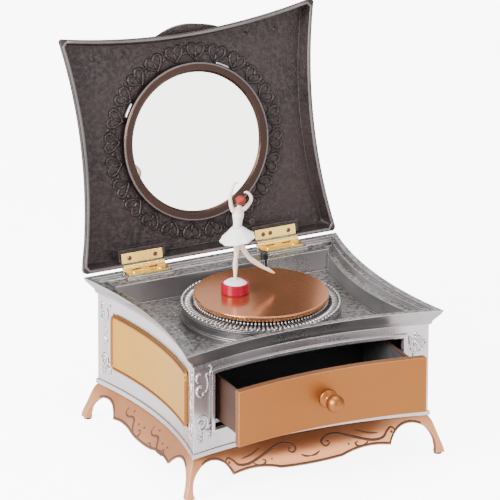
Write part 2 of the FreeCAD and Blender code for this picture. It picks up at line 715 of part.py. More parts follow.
def make_turntable():
    bush = body("turntable_bush")
    profile = [("shaft_radius + run_gap", "stage_top - 2.4"), ("3.1", "stage_top - 2.4"),
               ("3.1", "stage_top"), ("4.6", "stage_top"), ("4.6", "stage_top + 0.8"),
               ("shaft_radius + run_gap", "stage_top + 0.8")]
    turn(bush, sketch(bush, "XZ", "0", profile))
    on_spindle(bush)

    disc = body("turntable_disc")
    profile = [("shaft_radius", "disc_low"), ("disc_radius - 0.6", "disc_low"),
               ("disc_radius", "disc_low + 0.6"), ("disc_radius", "disc_top - 0.5"),
               ("disc_radius - 0.5", "disc_top"), ("0", "disc_top"), ("0", "disc_top - 1"),
               ("shaft_radius", "disc_top - 1")]
    turn(disc, sketch(disc, "XZ", "0", profile))
    on_spindle(disc)

    shaft = body("turntable_shaft")
    pad(shaft, sketch(shaft, "XY", "tray_under - 1.5", circle("0", "0", "shaft_radius")),
        "disc_top - 1 - tray_under + 1.5")
    on_spindle(shaft)

    clip = body("shaft_clip")
    pad(clip, sketch(clip, "XY", "tray_under - 1", circle("0", "0", "3"),
                     circle("0", "0", "shaft_radius")), "0.8")
    on_spindle(clip)

    gear = gear_shape(value("gear_module"), value("table_teeth"), 3, value("shaft_radius"), 0.16)
    half_tooth = 180 / value("table_teeth")
    gear.rotate(FreeCAD.Vector(), FreeCAD.Vector(0, 0, 1), 90 + half_tooth)
    gear.translate(FreeCAD.Vector(0, 0, value("tray_floor") + 2))
    on_spindle(shape_piece("turntable_gear", gear))


# ---------------------------------------------------------------- movement

def make_winding():
    """The winding arbor with its drive gear and crown wheel above and its key below."""
    arbor = body("winding_arbor")
    pad(arbor, sketch(arbor, "XY", "9", circle("0", "arbor_y", "shaft_radius")),
        "tray_floor + 5.6 - 9")

    gear = gear_shape(value("gear_module"), value("drive_teeth"), 3, value("shaft_radius"), 0.16)
    gear.rotate(FreeCAD.Vector(), FreeCAD.Vector(0, 0, 1), -90)
    gear.translate(FreeCAD.Vector(0, value("arbor_y"), value("tray_floor") + 2))
    shape_piece("drive_gear", gear)

    wheel = body("crown_wheel")
    hub = circle("0", "arbor_y", "shaft_radius")
    pad(wheel, sketch(wheel, "XY", "barrel_top + 1.4", circle("0", "arbor_y", "crown_radius + 1"), hub),
        "1.2")
    pegs = []
    for peg in range(int(value("crown_pegs"))):
        angle = 360 / value("crown_pegs") * (peg + 0.5)
        pegs.append(circle("crown_radius * cos(%s)" % angle,
                           "arbor_y + crown_radius * sin(%s)" % angle, "0.4"))
    pad(wheel, sketch(wheel, "XY", "barrel_top + 2.2", *pegs), "peg_top - barrel_top - 2.2")

    key = body("winding_key")
    pad(key, sketch(key, "XY", "10", circle("0", "arbor_y", "3.2"),
                    circle("0", "arbor_y", "shaft_radius")), "8")
    wings = [("-11", "7"), ("-9", "4.5"), ("9", "4.5"), ("11", "7"), ("11", "12"), ("8.5", "14"),
             ("2.4", "14"), ("2.4", "10.2"), ("-2.4", "10.2"), ("-2.4", "14"), ("-8.5", "14"),
             ("-11", "12")]
    pad(key, sketch(key, "XZ", "-arbor_y - 0.8", wings), "1.6")
    doc.recompute()
    cut(key, sketch(key, "XY", "9", circle("0", "arbor_y", "shaft_radius")), "12", upward=True)


def make_bed():
    bed = body("bedplate")
    pad(bed, sketch(bed, "XY", "stand_top + plate", box("-16", "52.5", "11", "52")),
        "bed_top - stand_top - plate")
    holes = [circle(x, y, "1.02") for x, y in BED_SCREWS]
    cut(bed, sketch(bed, "XY", "stand_top", circle("0", "arbor_y", "shaft_radius + run_gap"), *holes))
    fasteners("movement_screws", BED_SCREWS, "2", "1", "1", "stand_top", "3.8", heads_up=False)

    barrel = body("spring_barrel")
    profile = [("shaft_radius + 0.4", "bed_top"), ("barrel_radius", "bed_top"),
               ("barrel_radius", "barrel_top"), ("shaft_radius + 0.4", "barrel_top"),
               ("shaft_radius + 0.4", "barrel_top - 0.8"), ("barrel_radius - 0.8", "barrel_top - 0.8"),
               ("barrel_radius - 0.8", "bed_top + 0.8"), ("shaft_radius + 0.4", "bed_top + 0.8")]
    turn(barrel, sketch(barrel, "XZ", "0", profile))
    barrel.setExpression(".Placement.Base.y", bind("arbor_y - frame_shift"))

    turns, inner = 7, value("shaft_radius") + 0.7
    pitch = (value("barrel_radius") - 1.4 - inner) / turns

    def coil(offset):
        line = []
        for step in range(turns * 12 + 1):
            angle = 2 * math.pi * step / 12
            radius = inner + offset + pitch * step / 12
            line.append(FreeCAD.Vector(radius * math.cos(angle), radius * math.sin(angle), 0))
        curve = Part.BSplineCurve()
        curve.interpolate(line)
        return curve.toShape(), line[0], line[-1]

    inside, inside_start, inside_end = coil(0)
    outside, outside_start, outside_end = coil(0.3)
    ribbon = Part.Wire(Part.__sortEdges__([
        inside, outside, Part.makeLine(inside_start, outside_start),
        Part.makeLine(inside_end, outside_end)]))
    low = value("bed_top") + 1.2
    spring = Part.Face(ribbon).extrude(FreeCAD.Vector(0, 0, value("barrel_top") - 1.2 - low))
    spring.translate(FreeCAD.Vector(0, value("arbor_y"), low))
    shape_piece("mainspring", spring)


def make_brackets():
    """Two upright brackets that carry the pin cylinder below and the governor above."""
    piece = body("cylinder_brackets")
    fly_z = "(drum_z + fine_module * (drum_teeth + fly_teeth) / 2)"
    left = "(drum_start - 2.4)"
    right = "(drum_end + 3.6)"
    upright_loop = box("arbor_y - 5", "arbor_y + 5", "bed_top", fly_z + " + 2.6")
    pad(piece, sketch(piece, "YZ", left, upright_loop), "1.2")
    pad(piece, sketch(piece, "YZ", right, upright_loop), "1.2")
    bearings = [circle("arbor_y", "drum_z", "1 + run_gap"), circle("arbor_y", fly_z, "0.6 + run_gap")]
    cut(piece, sketch(piece, "YZ", left, *bearings))


def make_drum():
    """The pin cylinder with its pinion and gear, along X."""
    y, z = value("arbor_y"), value("drum_z")
    start, end = value("drum_start"), value("drum_end")
    arbor = body("cylinder_arbor")
    pad(arbor, sketch(arbor, "YZ", "9.6", circle("arbor_y", "drum_z", "1")), "drum_end + 5.4 - 9.6")

    long = end - start
    drum = Part.makeCylinder(value("drum_radius"), long)
    pins = []
    notes = int(value("comb_notes"))
    for pin in range(40):
        note = (pin * 7) % notes
        angle = math.radians(360 * pin / 40)
        across = FreeCAD.Vector(math.cos(angle), math.sin(angle), 0)
        foot = across * (value("drum_radius") - 0.5)
        foot.z = 1.6 + (long - 3.2) * note / (notes - 1)
        pins.append(Part.makeCylinder(0.25, 0.85, foot, across))
    drum = drum.fuse(pins).cut(Part.makeCylinder(1.0, long))
    shape_piece("pin_cylinder", along_x(drum, start, y, z))

    leaves = int(value("pinion_teeth"))
    pinion = Part.makeCylinder(2.2, 3)
    paddles = []
    for leaf in range(leaves):
        paddle = Part.makeBox(2.6, 0.8, 2, FreeCAD.Vector(1.6, -0.4, 0))
        paddle.rotate(FreeCAD.Vector(), FreeCAD.Vector(0, 0, 1), 360 / leaves * (leaf + 0.5))
        paddles.append(paddle)
    pinion = pinion.fuse(paddles).cut(Part.makeCylinder(1.0, 3))
    shape_piece("cylinder_pinion", along_x(pinion, value("crown_radius") - 1, y, z, PINION_TURN))

    gear = gear_shape(value("fine_module"), value("drum_teeth"), 1.4, 1.0, 0.12)
    shape_piece("cylinder_gear", along_x(gear, end + 1, y, z, 180))




def make_governor():
    """The fly that holds the speed: a pinion, an arbor and two blades, along X."""
    y = value("arbor_y")
    z = value("drum_z") + value("fine_module") * (value("drum_teeth") + value("fly_teeth")) / 2
    end = value("drum_end")
    arbor = body("fly_arbor")
    fly_z = "(drum_z + fine_module * (drum_teeth + fly_teeth) / 2)"
    pad(arbor, sketch(arbor, "YZ", "drum_start - 3", circle("arbor_y", fly_z, "0.6")),
        "drum_end + 11 - drum_start + 3")
    pinion = gear_shape(value("fine_module"), value("fly_teeth"), 1.8, 0.6, 0.12)
    shape_piece("fly_pinion", along_x(pinion, end + 0.8, y, z, 180 / value("fly_teeth")))
    hub = Part.makeCylinder(1.4, 4.4)
    blades = [Part.makeBox(10.6, 0.5, 3.8, FreeCAD.Vector(-5.3, -0.25, 0.3))]
    fly = hub.fuse(blades).cut(Part.makeCylinder(0.6, 4.4))
    shape_piece("fly_blades", along_x(fly, end + 6, y, z))


def make_comb():
    """A steel comb on its block, with two screws; its tips stop just short of the pins."""
    piece = body("music_comb")
    notes = int(value("comb_notes"))
    start, end = value("drum_start") + 1.0, value("drum_end") - 1.0
    pitch = (end - start) / notes
    tip = value("arbor_y") + value("drum_radius") + 0.6
    outline = [(start, 50), (start, 42)]
    for note in range(notes):
        root = 42 - 3.5 * note / notes
        left = start + pitch * note + 0.25
        outline += [(left, root), (left, tip), (left + pitch - 0.5, tip), (left + pitch - 0.5, root)]
    outline += [(end, 38.6), (end, 50)]
    loop = [(str(round(x, 3)), str(round(y, 3))) for x, y in outline]
    pad(piece, sketch(piece, "XY", "drum_z - 0.5", loop), "1")
    screws = [("drum_start + 6", "46"), ("drum_end - 6", "46")]
    holes = [circle(x, y, "1.02") for x, y in screws]
    cut(piece, sketch(piece, "XY", "drum_z + 0.5", *holes))
    block = body("comb_block")
    pad(block, sketch(block, "XY", "bed_top", box(str(start), str(end), "43", "50")),
        "drum_z - 0.5 - bed_top")
    cut(block, sketch(block, "XY", "drum_z - 0.5", *holes), "9")
    fasteners("comb_screws", screws, "2.1", "1.2", "1", "drum_z + 0.5", "8")


def make_stop():
    """A plunger with its stop arm, which the closing lid's post presses, and its spring."""
    plunger = body("stop_plunger")
    profile = [("0", "ledge_top - 8"), ("2", "ledge_top - 8"), ("2", "stop_top - 0.6"),
               ("1.4", "stop_top"), ("0", "stop_top")]
    turn(plunger, sketch(plunger, "XZ", "0", profile))
    pad(plunger, sketch(plunger, "XY", "60", circle("0", "0", "1.1")), "ledge_top - 8 - 60")
    plunger.setExpression(".Placement.Base.x", bind("stop_x"))
    plunger.setExpression(".Placement.Base.y", bind("stop_y - frame_shift"))
    across = "(drum_end + 8 - stop_x)"
    arm = [("0", "-0.5"), (across + " - 0.5", "-0.5"), (across + " - 0.5", "32 - stop_y"),
           (across + " + 0.5", "32 - stop_y"), (across + " + 0.5", "0.5"), ("0", "0.5")]
    pad(plunger, sketch(plunger, "XY", "60.1", arm), "1")
    x, y = value("stop_x"), value("stop_y")
    turns, reach, spring_pitch = 4, 1.6, 0.93
    line = []
    for step in range(turns * 12 + 1):
        angle = 2 * math.pi * step / 12
        rise = spring_pitch * step / 12
        line.append(FreeCAD.Vector(reach * math.cos(angle), reach * math.sin(angle), rise))
    curve = Part.BSplineCurve()
    curve.interpolate(line)
    section = Part.Wire(Part.makeCircle(0.2, line[0], curve.tangent(0)[0]))
    solid = Part.Wire(curve.toShape()).makePipeShell([section], True, False)
    solid.translate(FreeCAD.Vector(x, y, value("tray_under") - 4.05))
    shape_piece("stop_spring", solid)


def make_movement():
    make_winding()
    make_bed()
    make_brackets()
    make_drum()
    make_governor()
    make_comb()
    make_stop()


# ---------------------------------------------------------------- drawer

def make_drawer():
    front = body("drawer_front", "drawer")
    face = front_strip("0", "front_thick", "front_half")
    pad(front, sketch(front, "XY", "front_low", face), "front_high - front_low")
    shank = circle("0", "(front_low + front_high) / 2", "1.3")
    cut(front, sketch(front, "XZ", "0", shank))

    tray = body("drawer_tray", "drawer")
    pad(tray, sketch(tray, "XY", "drawer_low", drawer_outline("0")), "drawer_high - drawer_low")
    cut(tray, sketch(tray, "XY", "drawer_low + drawer_wall", drawer_outline("drawer_wall")),
        "drawer_high - drawer_low", upward=True)
    nut = circle("0", "(front_low + front_high) / 2", "1.3")
    cut(tray, sketch(tray, "XZ", "10", nut), "-front_y - front_thick - 10 + 3", upward=True)

    velvet = body("drawer_lining", "drawer")
    floor_z = "drawer_low + drawer_wall"
    pad(velvet, sketch(velvet, "XY", floor_z, drawer_outline("(drawer_wall + 0.05)")),
        "drawer_high - 1 - (%s)" % floor_z)
    cut(velvet, sketch(velvet, "XY", floor_z + " + lining", drawer_outline("(drawer_wall + 0.05 + lining)")),
        "drawer_high", upward=True)
    cut(velvet, sketch(velvet, "XZ", "10", circle("0", "(front_low + front_high) / 2", "2.8")),
        "-front_y - front_thick - 10 + 6", upward=True)

    knob = body("drawer_knob", "drawer")
    profile = [
        ("1.35", "-0.1"), ("knob_radius + 0.3", "-0.1"), ("knob_radius + 0.3", "1.2"), ("3", "2.4"),
        ("2.4", "knob_reach - sqrt(knob_radius^2 - 2.4^2)", "knob_radius", "knob_reach"),
        ("0", "knob_reach + knob_radius"), ("0", "4"), ("1.35", "4"),
    ]
    turn(knob, sketch(knob, "XY", "0", [(x, "-(%s)" % y) + tuple(
        v if i == 0 else "-(%s)" % v for i, v in enumerate(rest)) for x, y, *rest in profile]))
    knob.setExpression(".Placement.Base.y", bind("front_y - drawer_pull - frame_shift - 0.17"))
    knob.setExpression(".Placement.Base.z", bind("(front_low + front_high) / 2"))

    screw = body("knob_screw", "drawer")
    pad(screw, sketch(screw, "XZ", "-front_y - front_thick - drawer_wall - 0.15",
                      circle("0", "(front_low + front_high) / 2", "1.2")), "front_thick + drawer_wall + 3.6")
    pad(screw, sketch(screw, "XZ", "-front_y - front_thick - drawer_wall - 1.3",
                      circle("0", "(front_low + front_high) / 2", "2.5")), "1.15")


def drawer_outline(inset):
    """The drawer tray seen from above: square behind, hollow where it meets the front."""
    half = "(drawer_half - %s)" % inset
    middle = "(front_y + front_thick + 0.1 + %s)" % inset
    end = "(front_y + front_thick + 0.1 + %s - front_dip * drawer_half^2 / front_half^2)" % inset
    back = "(drawer_back - %s)" % inset
    return [("-" + half, end, "0", middle), (half, end), (half, back), ("-" + half, back)]


# ---------------------------------------------------------------- lid and hinges

def make_lid():
    """A hollow-sided lid in its closed place, measured from the hinge axis."""
    piece = body("lid_shell", "lid")
    pad(piece, sketch(piece, "XY", "lid_rim", lid_outline()), "lid_edge - lid_rim")
    loft(piece, sketch(piece, "XY", "lid_edge", lid_outline()),
         sketch(piece, "XY", "lid_top", lid_outline("(lid_slope * (lid_top - lid_edge))")), ruled=True)
    pad(piece, sketch(piece, "XY", "lid_top - 0.5", circle("0", "-mirror_u", "46")), "3")
    hollow(piece, sketch(piece, "XY", "lid_rim", lid_outline("lid_wall")),
           sketch(piece, "XY", "lid_panel", lid_outline("(lid_wall + 2.3)")))
    blocks, notches = [], []
    for side in ("", "-"):
        near, far = "%s(hinge_x - hinge_half - 1.5)" % side, "%s(hinge_x + hinge_half + 1.5)" % side
        near_n = "%s(hinge_x - hinge_half - 0.5)" % side
        far_n = "%s(hinge_x + hinge_half + 0.5)" % side
        if side:
            near, far, near_n, far_n = far, near, far_n, near_n
        blocks.append(box(near, far, "-leaf_reach - 2", "-lid_back - 3"))
        notches.append(box(near_n, far_n, "-leaf_reach - 0.5", "0.5"))
    pad(piece, sketch(piece, "XY", "0.6", *blocks), "lid_panel - 0.4")
    cut(piece, sketch(piece, "XY", "lid_rim - 1", *notches), "knuckle + 0.05 - lid_rim + 1", upward=True)
    spots = [circle(x, y, "0.8") for x, y in hinge_screw_spots("lid")]
    cut(piece, sketch(piece, "XY", "0", *spots), "8", upward=True)
    post = circle("stop_x", "stop_y - hinge_y", "1.6")
    pad(piece, sketch(piece, "XY", "-1.3", post), "lid_panel + 1.8")


def make_lid_fittings():
    tab = body("lid_tab", "lid")
    levels = []
    for z in ("tab_low", "tab_high"):
        inset = "(lid_slope * (%s - lid_edge))" % z
        middle = "(lid_dip_front - lid_back - lid_deep + %s - 0.06)" % inset
        corner = "(%s - lid_dip_front * tab_half^2 / (lid_half_w - %s)^2)" % (middle, inset)
        levels.append(sketch(tab, "XY", z, [
            ("-tab_half", corner, "0", "lid_dip_front - lid_back - lid_deep - tab_out"),
            ("tab_half", corner, "0", middle)]))
    loft(tab, *levels, ruled=True)

    glass = body("mirror", "lid")
    pad(glass, sketch(glass, "XY", "mirror_face", circle("0", "-mirror_u", "mirror_radius")), "1.6")

    ring = body("mirror_ring", "lid")
    profile = [
        ("sight_radius", "mirror_face - 0.05"), ("sight_radius + 0.8", "ring_face + 0.3"),
        ("sight_radius + 1.4", "ring_face"), ("ring_radius - 0.8", "ring_face"),
        ("ring_radius", "ring_face + 0.8"), ("ring_radius", "lid_panel"),
        ("mirror_radius + 0.1", "lid_panel"), ("mirror_radius + 0.1", "mirror_face - 0.05"),
    ]
    turn(ring, sketch(ring, "XZ", "0", profile))
    backing = body("mirror_backing", "lid")
    pad(backing, sketch(backing, "XY", "mirror_face + 1.6", circle("0", "-mirror_u", "mirror_radius")),
        "lid_panel - mirror_face - 1.6")
    place_on_lid(ring, "mirror_u")


def place_on_lid(piece, reach):
    """Put a piece modelled round its own Z axis on the lid, in front of the hinge axis."""
    piece.setExpression(".Placement.Base.y",
                        bind("hinge_y - frame_shift - %s * cos(lid_open)" % reach))
    piece.setExpression(".Placement.Base.z", bind("hinge_z + %s * sin(lid_open)" % reach))


def knuckle_spans(owned):
    """X spans of a hinge's knuckles, five to a hinge; the case leaf owns the odd three."""
    spans = []
    for hand in ("", "-"):
        for number in range(5):
            if (number % 2 == 0) == owned:
                start = "(%shinge_x - hinge_half + hinge_half * 2 / 5 * %d + 0.08)" % (hand, number)
                end = "(%shinge_x - hinge_half + hinge_half * 2 / 5 * %d - 0.08)" % (hand, number + 1)
                spans.append((start, end))
    return spans


def make_leaves(label, frame, owned, low, screw_level):
    """Both hinges' leaves on one side, with their knuckles round the X axis."""
    piece = body(label, frame)
    knuckles = [box(a, b, "pin_radius + run_gap", "knuckle") for a, b in knuckle_spans(owned)]
    turn(piece, sketch(piece, "XY", "0", *knuckles), "H_Axis")
    fingers = [box(a, b, "-2.4", "-0.9") for a, b in knuckle_spans(owned)]
    pad(piece, sketch(piece, "XY", low, *fingers), "leaf")
    plates = [box("hinge_x - hinge_half", "hinge_x + hinge_half", "-leaf_reach", "-2.1"),
              box("-hinge_x - hinge_half", "-hinge_x + hinge_half", "-leaf_reach", "-2.1")]
    pad(piece, sketch(piece, "XY", low, *plates), "leaf")
    spots = [circle(x, y, "0.8") for x, y in hinge_screw_spots("lid")]
    cut(piece, sketch(piece, "XY", screw_level, *spots), "2", upward=owned)


def make_hinges():
    make_leaves("hinge_leaves_case", "hinge", True, "-knuckle", "-knuckle - 0.5")
    make_leaves("hinge_leaves_lid", "lid", False, "knuckle - leaf", "knuckle + 0.5")
    pins = body("hinge_pins", "hinge")
    spans = [box("hinge_x - hinge_half - 0.3", "hinge_x + hinge_half + 0.3", "0", "pin_radius"),
             box("-hinge_x - hinge_half - 0.3", "-hinge_x + hinge_half + 0.3", "0", "pin_radius")]
    turn(pins, sketch(pins, "XY", "0", *spans), "H_Axis")
    fasteners("hinge_screws_case", hinge_screw_spots("case"), "1.35", "0.45", "0.75",
              "hinge_z - knuckle + leaf", "6")
    fasteners("hinge_screws_lid", hinge_screw_spots("lid"), "1.35", "0.45", "0.75",
              "knuckle - leaf", "6", frame="lid", heads_up=False)


# ---------------------------------------------------------------- dancer

def fused(rods):
    return rods[0].fuse(rods[1:]).removeSplitter()


def make_dancer():
    """A doll on pointe in a weighted cup, in an arabesque with both arms raised."""
    cup = body("dancer_cup", "dancer")
    profile = [("0", "0"), ("cup_radius - 0.4", "0"), ("cup_radius", "0.6"),
               ("cup_radius", "cup_tall"), ("cup_radius - 1", "cup_tall"),
               ("cup_radius - 1", "3"), ("5", "3"), ("5", "1"), ("0", "1")]
    turn(cup, sketch(cup, "XZ", "0", profile))
    magnet = body("cup_magnet", "dancer")
    pad(magnet, sketch(magnet, "XY", "1", circle("0", "0", "4.9")), "1.95")
    filling = body("cup_filling", "dancer")
    profile = [("1", "3"), ("cup_radius - 1.05", "3"), ("cup_radius - 1.05", "cup_tall - 0.6"),
               ("4", "cup_tall + 0.9"), ("1", "cup_tall + 1.3")]
    turn(filling, sketch(filling, "XZ", "0", profile))

    leg = fused(rod((0, 0, 3.95), (0, 0, 9), 0.85, 0.95) + rod((0, 0, 9), (0.4, 0.1, 18), 0.95, 1.25)
                + rod((0.4, 0.1, 18), (1, 0, 28), 1.25, 2.1))
    free_leg = fused(rod((1.4, 0, 28), (8.2, 0, 18.6), 2.0, 1.3)
                     + rod((8.2, 0, 18.6), (17.5, 0, 10.2), 1.3, 0.9)
                     + rod((17.5, 0, 10.2), (23.2, 0, 6.7), 0.9, 0.5))
    torso = fused(rod((1, 0, 29), (1.8, 0, 36.5), 2.6, 1.9) + rod((1.8, 0, 36.5), (2.6, 0, 44), 1.9, 2.7)
                  + rod((2.8, 0, 44), (3.6, 0, 48.5), 1.3, 1.1))
    arms = fused(rod((0.6, 0, 44.6), (-1.2, 0, 53), 1.0, 0.8) + rod((-1.2, 0, 53), (0.4, 0, 60.7), 0.8, 0.6)
                 + rod((4.6, 0, 44.6), (9.6, 0, 51), 1.0, 0.8) + rod((9.6, 0, 51), (5, 0, 58.6), 0.8, 0.6)
                 + rod((0.6, 0, 44.6), (4.6, 0, 44.6), 1.1, 1.1))
    head = Part.makeSphere(2.9, FreeCAD.Vector(3.9, 0, 51))
    figure = leg.fuse([free_leg, torso, arms, head])
    dress = Part.makeCone(10.7, 3.6, 6, FreeCAD.Vector(1.3, 0, 28.2), FreeCAD.Vector(0, 0, 1))
    dress = dress.cut(figure)
    dress = dress.Solids[0] if dress.Solids else dress
    hair = Part.makeSphere(3.3, FreeCAD.Vector(4.3, 0.9, 51.6)).cut(
        Part.makeBox(8, 5, 9, FreeCAD.Vector(0, -5.4, 47)))
    hair = hair.fuse(Part.makeSphere(1.6, FreeCAD.Vector(5.6, 1.6, 54.4))).cut(figure)
    shape_piece("dancer_figure", figure.removeSplitter(), "dancer")
    shape_piece("dancer_tutu", dress, "dancer")
    shape_piece("dancer_hair", hair, "dancer")


# ---------------------------------------------------------------- build and write

make_stand()
make_foot_pads()
make_case()
make_tray()
make_platform()
make_turntable()
make_movement()
make_drawer()
make_lid()
make_lid_fittings()
make_hinges()
make_dancer()
doc.recompute()

for made in doc.Objects:
    if "Invalid" in made.State or "Error" in made.State:
        raise RuntimeError(made.Label + " failed to build")
for piece in parts:
    if piece.Shape.isNull() or not piece.Shape.isValid():
        raise RuntimeError(piece.Label + " has no valid shape")
    piece.Shape.exportStep("parts/%s.step" % piece.Label)
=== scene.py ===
import json
import math

import bmesh
import bpy
from mathutils import Matrix, Vector
from mathutils.bvhtree import BVHTree
from mathutils.noise import noise as noise_at


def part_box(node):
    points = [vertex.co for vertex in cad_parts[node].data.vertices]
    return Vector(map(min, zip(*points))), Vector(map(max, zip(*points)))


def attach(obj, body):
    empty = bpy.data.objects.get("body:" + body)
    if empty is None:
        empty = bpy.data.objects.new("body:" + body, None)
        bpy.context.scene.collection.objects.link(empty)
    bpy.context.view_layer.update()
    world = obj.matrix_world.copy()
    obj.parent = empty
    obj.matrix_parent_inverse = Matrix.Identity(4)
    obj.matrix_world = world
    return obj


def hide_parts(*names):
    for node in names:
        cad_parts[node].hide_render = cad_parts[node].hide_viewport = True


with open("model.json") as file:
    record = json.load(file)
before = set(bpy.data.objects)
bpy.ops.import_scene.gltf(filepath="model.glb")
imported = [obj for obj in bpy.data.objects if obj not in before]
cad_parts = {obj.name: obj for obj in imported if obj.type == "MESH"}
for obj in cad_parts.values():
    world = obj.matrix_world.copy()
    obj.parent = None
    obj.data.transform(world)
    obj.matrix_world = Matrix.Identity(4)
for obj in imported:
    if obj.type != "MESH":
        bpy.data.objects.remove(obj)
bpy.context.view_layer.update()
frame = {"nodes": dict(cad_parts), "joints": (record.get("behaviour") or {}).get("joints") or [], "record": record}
record = frame["record"]
MM = 0.001


# ---- places, from the frame

def middle(node):
    low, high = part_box(node)
    return (low + high) / 2


def joint(name):
    return next(j for j in frame["joints"] if j["name"] == name)


def frame_slot(node):
    return next(e["material_slot"] for e in record["subparts"] if e["node"] == node)


HINGE = Vector(joint("lid_hinge")["pos_m"])
SPIN = Vector(joint("turntable_spin")["pos_m"])
CASE_MID = middle("case_body")
LID_TILT = math.radians(joint("lid_hinge")["range_deg"][1] - 90)
LID_OUT = Vector((0, math.cos(LID_TILT), -math.sin(LID_TILT)))
LID_UP = Vector((0, math.sin(LID_TILT), math.cos(LID_TILT)))


def on_lid(across, up, deep):
    """A point of the open lid: across X, up from the hinge axis, and deep behind it."""
    return HINGE + Vector((across, 0, 0)) + LID_UP * up + LID_OUT * deep


# ---- materials

def new_material(name):
    material = bpy.data.materials.new(name)
    material.use_nodes = True
    material.node_tree.nodes.clear()
    return material, material.node_tree.nodes, material.node_tree.links


def add_node(nodes, kind, **values):
    """A shader node; each keyword is an input's name in lower case, with _ for a space."""
    node = nodes.new("ShaderNode" + kind)
    for socket in node.inputs:
        word = socket.name.lower().replace(" ", "_")
        if word in values:
            socket.default_value = values.pop(word)
    if values:
        raise ValueError("no such input: " + ", ".join(values))
    return node


def mixed(nodes, links, factor, first, second):
    mix = nodes.new("ShaderNodeMix")
    mix.data_type = "RGBA"
    links.new(factor, mix.inputs[0])
    for socket, colour in ((mix.inputs[6], first), (mix.inputs[7], second)):
        if hasattr(colour, "is_output"):
            links.new(colour, socket)
        else:
            socket.default_value = (*colour, 1)
    return mix.outputs[2]


def ranged(nodes, links, value, low, high, from_low=0.0, from_high=1.0):
    node = nodes.new("ShaderNodeMapRange")
    for name, number in (("From Min", from_low), ("From Max", from_high), ("To Min", low), ("To Max", high)):
        node.inputs[name].default_value = number
    links.new(value, node.inputs["Value"])
    return node.outputs["Result"]


def noise(nodes, links, scale, detail=4.0, stretch=(1, 1, 1)):
    coords = nodes.new("ShaderNodeTexCoord")
    mapping = add_node(nodes, "Mapping", scale=stretch)
    texture = add_node(nodes, "TexNoise", scale=scale, detail=detail)
    links.new(coords.outputs["Object"], mapping.inputs["Vector"])
    links.new(mapping.outputs["Vector"], texture.inputs["Vector"])
    return texture.outputs["Fac"]


def cells(nodes, links, scale):
    coords = nodes.new("ShaderNodeTexCoord")
    texture = add_node(nodes, "TexVoronoi", scale=scale)
    links.new(coords.outputs["Object"], texture.inputs["Vector"])
    return texture.outputs["Distance"]


def bevelled(nodes, reach):
    """The normal that the surface would have with rounded edges."""
    bevel = add_node(nodes, "Bevel", radius=reach)
    bevel.samples = 4
    return bevel.outputs["Normal"]


def edge_wear_and_sheen(nodes, links, reach):
    """About 1 on edges and 0 on flats, from a bevelled normal."""
    geometry = nodes.new("ShaderNodeNewGeometry")
    dot = nodes.new("ShaderNodeVectorMath")
    dot.operation = "DOT_PRODUCT"
    links.new(bevelled(nodes, reach), dot.inputs[0])
    links.new(geometry.outputs["Normal"], dot.inputs[1])
    return ranged(nodes, links, dot.outputs["Value"], 1.0, 0.0, 0.80, 0.995)


def maths(nodes, links, operation, *values):
    """A math node on sockets or plain numbers."""
    node = nodes.new("ShaderNodeMath")
    node.operation = operation
    for socket, value in zip(node.inputs, values):
        if hasattr(value, "is_output"):
            links.new(value, socket)
        else:
            socket.default_value = value
    return node.outputs[0]


def facing_up(nodes, links):
    """1 on level floors and 0 on walls."""
    geometry = nodes.new("ShaderNodeNewGeometry")
    parts = nodes.new("ShaderNodeSeparateXYZ")
    links.new(geometry.outputs["Normal"], parts.inputs[0])
    return ranged(nodes, links, parts.outputs["Z"], 0, 1, 0.7, 0.95)


def add_shader(nodes, links, **values):
    """A Principled shader joined to the material's output."""
    shader = add_node(nodes, "BsdfPrincipled", **values)
    links.new(shader.outputs[0], nodes.new("ShaderNodeOutputMaterial").inputs[0])
    return shader


SOFTEN, PATINA_AND_SHADE_REACH, MOTTLE_SCALE = 0.35, 2.5, 420.0


